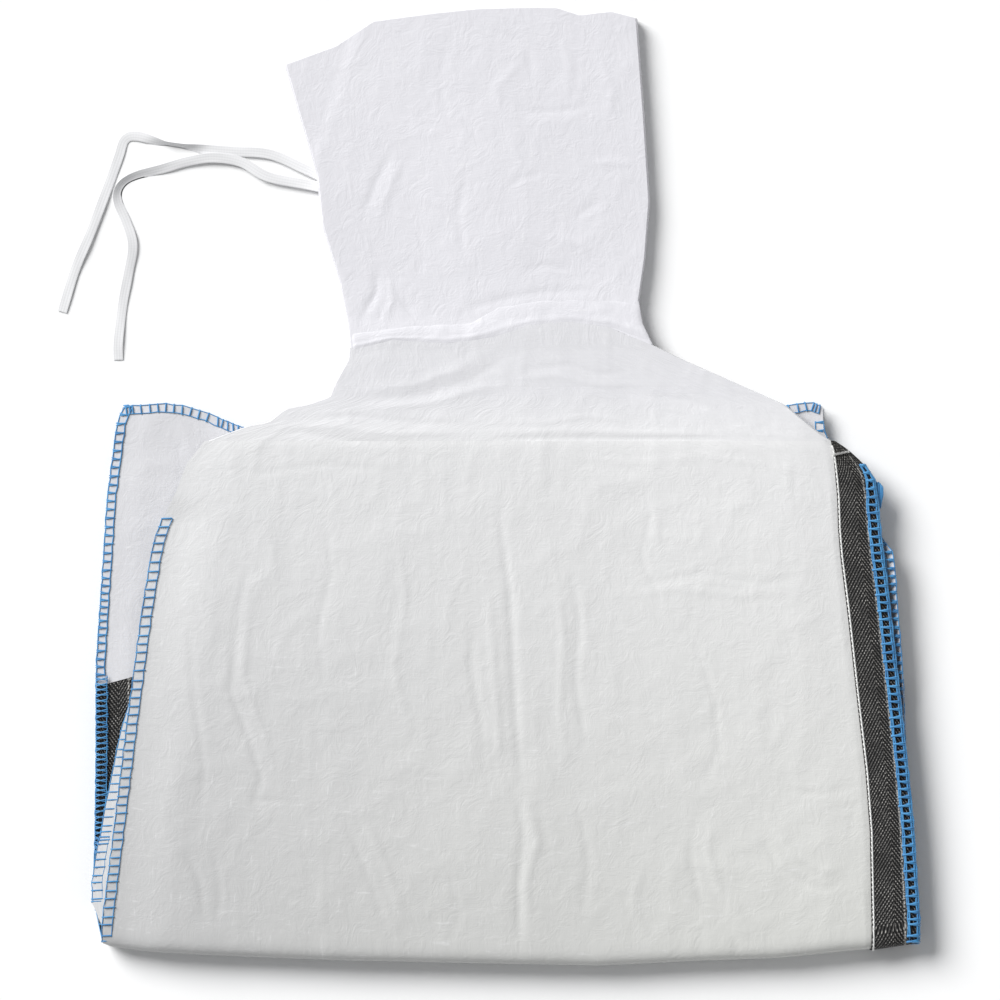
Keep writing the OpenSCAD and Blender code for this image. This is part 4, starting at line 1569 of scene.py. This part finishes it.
@dataclass
class Overlock:
    """Blue overlock stitching over every cut edge of the bag."""

    finishes: Finishes
    radius: float = 0.85

    def rung(self, work: ThreadWork, edge: Point, inward: tuple[float, float], style: Stitch,
             over: float, jitter: float, share_in: float = 1.0) -> None:
        """Add one rung that wraps over the edge, and its twin if the style has one.

        Args:
            work: where the strand goes.
            edge: the edge point.
            inward: unit vector in plan, from the edge into the cloth.
            style: sizes of the stitch.
            over: half the thickness that it wraps.
            jitter: from -1 to 1, how this rung differs.
            share_in: share of the style's depth that it reaches.
        """
        x, y, z = edge
        along = (-inward[1], inward[0])
        turns = ((0.0, 1.0),) if not style.twin else ((0.0, 1.0), (style.twin, -0.8))
        for shift, lean_share in turns:
            reach = style.depth * share_in * (1 + 0.10 * jitter)
            lean = style.slant * (lean_share + 0.6 * jitter)
            points: list[Point] = []
            for share, high, bend in ((1.04, 0.75, 1.0), (0.93, 1.0, 0.9), (0.55, 1.12, 0.6),
                                      (0.12, 1.05, 0.2), (-0.09, 0.0, 0.0), (0.12, -0.95, -0.1),
                                      (0.6, -0.9, -0.3)):
                points.append((x + inward[0] * reach * share + along[0] * (lean * bend + shift),
                               y + inward[1] * reach * share + along[1] * (lean * bend + shift),
                               max(z + over * high, 0.9)))
            work.run(points, style.thick)

    def rails(self, work: ThreadWork, edges: list[tuple[Point, tuple[float, float]]],
              style: Stitch, over: float) -> None:
        """Add the running threads along the edge and along the rungs' inner ends."""
        if len(edges) < 2:
            return
        for number, (share, high, thick) in enumerate(style.rails):
            line: list[Point] = []
            for i, (edge, inward) in enumerate(edges):
                swing = 0.4 * math.sin(i * 2.1 + number) + (0.25 if (i + number) % 2 else -0.25)
                away = style.depth * share * self.growth(style, i) + swing
                line.append((edge[0] + inward[0] * away, edge[1] + inward[1] * away,
                             max(edge[2] + over * high, 0.9)))
            work.run(line, thick)

    @staticmethod
    def growth(style: Stitch, index: int) -> float:
        """Return the share of its depth that a heavy stitch has reached by one rung."""
        return 1.0 if style.thick < HEAVY_THREAD else min(0.45 + index * 0.11, 1.0)

    def tuft(self, work: ThreadWork) -> None:
        """Add the loose thread ends that stick out by the right-hand corner."""
        for i in range(16):
            lean = float(lattice(np.array([i]), np.array([1]), 61)[0]) * 2 - 1
            x = 405.5 + 10.5 * i / 15
            top, low = 0.5 + 2.5 * lean - 0.1 * i, -32 + 0.9 * i - 5 * lean
            work.run([(x - 3.5, top + 4, 29.0), (x - 0.5, top, 30.2 + lean),
                      (x - 0.5 + 0.8 * lean, (top + low) / 2, 31.0 + 0.8 * lean),
                      (x - 0.16 * i + 1.6 * lean, low, 29.6)], 0.9)

    def seam(self, run: SeamRun) -> None:
        """Build one corner seam's overlock round the fold."""
        stem = "overlock_" + run.corner
        front = run.corner.startswith("front")
        names = (stem,) if front else tuple(f"{stem}_{stretch.name}" for stretch in FOLD_PARTS)
        works = [ThreadWork(name, self.radius) for name in names]
        work = works[0]
        lengths = (run.wrap.top_y - FOLD_Y, TURN_LENGTH, run.wrap.low_y + BASE_Y - FOLD_Y)
        t, index = run.start, 0
        part: list[tuple[Point, tuple[float, float]]] = []
        kind = run.style(t, 0.0)
        heights = {Ladder.DENSE: run.dense_over}
        inward = (-float(run.side), 0.0)
        while t < run.stop:
            edge = run.edge(t)
            now = run.style(t, edge[1])
            style = STITCHES[now]
            part.append((edge, inward))
            new_work = works[0 if front else part_at(t)]
            if now is not kind or new_work is not work:
                self.rails(work, part, STITCHES[kind], heights.get(kind, run.over))
                part, kind, work = [(edge, inward)], now, new_work
            jitter = float(lattice(np.array([index]), np.array([3]), len(run.corner))[0]) * 2 - 1
            self.rung(work, edge, inward, style, heights.get(now, run.over), jitter,
                      self.growth(style, index))
            t += style.pitch * (1 + 0.12 * jitter) / lengths[min(int(t), 2)]
            index += 1
        self.rails(work, part, STITCHES[kind], heights.get(kind, run.over))
        if run.corner == "front_right":
            self.tuft(work)
        attach_thread(works, self.finishes.blue, Slot.BLUE_THREAD, stem, (0.0208, 0.0222))

    def base_seam(self, name: str, level: Callable[[float, float], float]) -> bpy.types.Object:
        """Build the overlock along the base edge of the front or the back panel."""
        work = ThreadWork(name, self.radius)
        plain, leaning = Stitch(9.2, 8.4, 0.5), Stitch(9.2, 8.4, 3.4)
        edges: list[tuple[Point, tuple[float, float]]] = []
        x, index = -418.0, 0
        while x < 350:
            jitter = float(lattice(np.array([index]), np.array([9]), 4)[0]) * 2 - 1
            y = float(PLAN.base_edge.y_at(np.array(x)))
            after = float(PLAN.base_edge.y_at(np.array(x + 4)))
            size = math.hypot(4, after - y)
            inward = ((after - y) / size, -4 / size)
            edge = (x, y, level(x, y))
            gathered = GATHERED[0] < x < GATHERED[1]
            self.rung(work, edge, inward, leaning if gathered else plain, 1.0, jitter)
            edges.append((edge, inward))
            crowded = x < CROWDED_ENDS[0] or x > CROWDED_ENDS[1]
            step = 3.6 if crowded else 5.6 if gathered else plain.pitch
            x += step * (1 + 0.12 * jitter)
            index += 1
        self.rails(work, edges, plain, 1.0)
        piece = work.build(self.finishes.blue, Slot.BLUE_THREAD)
        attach(piece, Body.LOWER.value)
        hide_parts(name)
        return piece

    def build(self) -> None:
        """Build every overlocked seam."""
        front = FoldWrap(48.0, 0.0, Lay.front_upper, Lay.front_lower, reach=23.6, inset=0.4,
                         lower_end=PLAN.base_edge)
        back = FoldWrap(44.0, 0.0, Lay.back_upper, Lay.back_lower, reach=4.0, inset=16.0,
                        lower_end=PLAN.base_edge)
        runs = (
            SeamRun("front_left", front, PLAN.upper_left, PLAN.lower_left, -1,
                    (LIP_FRONT_UPPER, LIP_FRONT_LOWER), (Ladder.PLAIN, Ladder.PLAIN), 0.155, 2.97),
            SeamRun("front_right", front, PLAN.upper_right, PLAN.lower_right, 1,
                    (LIP_FRONT_UPPER + 0.8, LIP_FRONT_LOWER), (Ladder.CHUNKY, Ladder.PLAIN),
                    0.045, 2.97, 2.0),
            SeamRun("back_left", back, PLAN.upper_left_back, PLAN.lower_left, -1,
                    (LIP_BACK_UPPER, LIP_BACK_LOWER + 0.4), (Ladder.PLAIN, Ladder.SLANTED),
                    0.02, 2.999),
            SeamRun("back_right", back, PLAN.upper_right.shifted(-3), PLAN.lower_right, 1,
                    (LIP_BACK_UPPER, LIP_BACK_LOWER + 0.4), (Ladder.PLAIN, Ladder.SLANTED),
                    0.02, 2.985),
        )
        for run in runs:
            self.seam(run)
            LOG.info("sewed %s", run.corner)
        self.base_seam("overlock_base_front", lambda x, y: LIP_FRONT_LOWER)
        self.base_seam("overlock_base_back",
                       lambda x, y: float(Lay.back_lower(np.array(x), np.array(y - 5.0))) + 0.3)
        LOG.info("sewed base seams")


@dataclass
class TopSeams:
    """Folded seam allowances inside the bag where the top panel joins the body."""

    finishes: Finishes

    def build(self) -> None:
        """Build both allowances as flat folded strips."""
        for name, node, west, east, level in (
                ("seam_top_front", "top_seam_front", -255, 345, 33.2),
                ("seam_top_back", "top_seam_back", -240, 300, 28.2)):
            tube = FlatTube(name, Line(((west, 0), (west, 60))), Line(((east, 0), (east, 60))),
                            Line(((west, 28), (east, 28))), Line(((west, 46), (east, 46))),
                            lambda x, y, z=level: z + 0.8 + 0.2 * value_noise(x, y, 30, 3),
                            lambda x, y, z=level: z + 0 * x, 120, 6, 3.0)
            piece = tube.build(self.finishes.body, Slot.BODY_CLOTH)
            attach(piece, Body.UPPER.value)
            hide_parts(node)
        LOG.info("sewed top seams")


# ---------------------------------------------------------------- tie tapes


@dataclass(frozen=True)
class TieTape:
    """One tail of the flat tie tape, lying loose on the floor."""

    name: str
    node: str
    points: tuple[Point, ...]
    twist: tuple[tuple[float, float], ...]
    width: float = 11.0
    thick: float = 0.7
    per_leg: int = 8

    def centre(self) -> Array:
        """Return the smooth centreline through the tail's points, in millimetres."""
        pts = [np.array(p, float) for p in self.points]
        pts = [2 * pts[0] - pts[1], *pts, 2 * pts[-1] - pts[-2]]
        out = []
        for a, b, c, d in zip(pts, pts[1:], pts[2:], pts[3:]):
            for i in range(self.per_leg):
                s = i / self.per_leg
                out.append(0.5 * (2 * b + (c - a) * s + (2 * a - 5 * b + 4 * c - d) * s**2
                                  + (3 * b - a - 3 * c + d) * s**3))
        out.append(pts[-2])
        return np.array(out)

    def build(self, material: bpy.types.Material) -> bpy.types.Object:
        """Return the tail as a thin ribbon that twists where it was handled."""
        line = self.centre()
        lengths = np.concatenate(([0], np.cumsum(np.linalg.norm(np.diff(line, axis=0), axis=1))))
        total = lengths[-1]
        tangent = np.gradient(line, lengths, axis=0)
        tangent[:, 2] *= 0.3
        tangent /= np.linalg.norm(tangent, axis=1)[:, None]
        up = np.array([0.0, 0.0, 1.0])
        across = np.cross(tangent, up)
        across /= np.linalg.norm(across, axis=1)[:, None]
        turn = np.interp(lengths / total, [s for s, _ in self.twist], [a for _, a in self.twist])
        flat = across * np.cos(turn)[:, None] + up * np.sin(turn)[:, None]
        normal = np.cross(flat, tangent)
        count = len(line) - 1

        def lay(u: Array, v: Array) -> tuple[Array, Array, Array]:
            at = v * total
            around = 2 * math.pi * u
            half_w, half_t = self.width / 2, self.thick / 2
            side = np.sign(np.cos(around)) * np.abs(np.cos(around)) ** 0.35 * half_w
            rise = np.sign(np.sin(around)) * np.abs(np.sin(around)) ** 0.6 * half_t
            rise = rise + 0.35 * np.sin(at / 9.0) * np.abs(side) / half_w
            out = []
            for axis in range(3):
                base = np.interp(at, lengths, line[:, axis])
                out.append(base + side * np.interp(at, lengths, flat[:, axis])
                           + rise * np.interp(at, lengths, normal[:, axis]))
            out[2] = np.maximum(out[2], 0.15)
            return out[0], out[1], out[2]

        def measure(u: Array, v: Array) -> tuple[Array, Array]:
            return (0.5 + 0.5 * np.cos(2 * math.pi * u)) * self.width * MM, v * total * MM

        made = laid_grid(16, count, lay, measure)
        bmesh.ops.remove_doubles(made, verts=made.verts, dist=0.01)
        ends = [e for e in made.edges if e.is_boundary]
        bmesh.ops.holes_fill(made, edges=ends, sides=40)
        bmesh.ops.recalc_face_normals(made, faces=made.faces)
        piece = finished(self.name, made, material)
        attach(piece, Body.SPOUT.value)
        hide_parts(self.node)
        LOG.info("laid %s, %.0f mm", self.name, total)
        return piece


TAPES = (
    TieTape("tie_tape_upper", "tie_tape_upper_tail",
            ((-205, 343, 5), (-222, 351, 4.6), (-260, 367, 3.6), (-301, 370, 3.2),
             (-337, 373, 3.0), (-375, 379, 3.0), (-406, 387, 2.2), (-420, 383, 1.4),
             (-427, 363, 1.4), (-443, 319, 2.4), (-459, 277, 3.2), (-475, 239, 2.2),
             (-489, 193, 1.2)),
            ((0.0, 0.1), (0.30, 0.1), (0.36, 1.1), (0.41, 1.2), (0.47, 0.1), (1.0, 0.0))),
    TieTape("tie_tape_lower", "tie_tape_lower_tail",
            ((-202, 330, 5.6), (-222, 334, 5.4), (-262, 342, 5.2), (-291, 358, 5.0),
             (-322, 363, 4.8), (-350, 359, 4.0), (-378, 351, 2.6), (-408, 343, 1.6),
             (-424, 333, 1.4), (-428, 317, 1.4), (-418, 292, 2.2), (-411, 266, 3.2),
             (-416, 235, 2.4), (-422, 203, 1.6), (-427, 161, 2.2), (-427, 140, 1.2)),
            ((0.0, 0.0), (0.4, 0.2), (0.52, 0.7), (0.62, 0.2), (1.0, 0.0))),
)


# ---------------------------------------------------------------- studio


@dataclass(frozen=True)
class Studio:
    """Camera, light and floor."""

    lens: float = 250.0
    frame_width: float = 1.1
    centre: tuple[float, float] = (-0.0055, -0.01485)

    def camera(self) -> None:
        """Hang the camera straight over the bag."""
        data = bpy.data.cameras.new("camera")
        data.lens = self.lens
        data.sensor_width = 36.0
        data.clip_end = 60.0
        camera = bpy.data.objects.new("camera", data)
        bpy.context.scene.collection.objects.link(camera)
        height = self.frame_width / 36.0 * self.lens + 0.03
        camera.location = (self.centre[0], self.centre[1], height)
        bpy.context.scene.camera = camera

    def lights(self) -> None:
        """Set a wide soft key light at the upper left, and an even pale fill."""
        key = bpy.data.lights.new("key", "SUN")
        key.energy = 4.06
        key.angle = math.radians(34)
        lamp = bpy.data.objects.new("key", key)
        bpy.context.scene.collection.objects.link(lamp)
        lamp.rotation_euler = Vector((0.74, -0.68, -0.73)).to_track_quat("-Z", "Y").to_euler()
        world = bpy.data.worlds.new("studio")
        bpy.context.scene.world = world
        world.use_nodes = True
        back = world.node_tree.nodes["Background"]
        back.inputs["Color"].default_value = (0.97, 0.985, 1.0, 1.0)
        back.inputs["Strength"].default_value = 0.31
        bpy.context.scene.view_settings.view_transform = "Standard"

    def floor(self) -> None:
        """Lay the pale floor."""
        made = bmesh.new()
        bmesh.ops.create_grid(made, x_segments=1, y_segments=1, size=6.0)
        mesh = bpy.data.meshes.new("floor")
        made.to_mesh(mesh)
        made.free()
        floor = bpy.data.objects.new("floor", mesh)
        bpy.context.scene.collection.objects.link(floor)
        board = NodeBoard("pale_floor")
        board.shader.inputs["Base Color"].default_value = (0.96, 0.96, 0.96, 1.0)
        board.shader.inputs["Roughness"].default_value = 0.9
        board.shader.inputs["Specular IOR Level"].default_value = 0.0
        mesh.materials.append(board.material)

    def build(self) -> None:
        """Set up the studio."""
        self.camera()
        self.lights()
        self.floor()


def main() -> None:
    """Build the studio and every sub-assembly in order."""
    logging.basicConfig(level=logging.INFO, format="%(name)s: %(message)s", stream=sys.stdout)
    Studio().build()
    finishes = Finishes()
    for tape in TAPES:
        tape.build(finishes.tape)
    BodyCloths(finishes).build()
    FillingTop(finishes).build()
    TopSeams(finishes).build()
    Webbing(finishes).build()
    Overlock(finishes).build()


if __name__ == "__main__":
    main()
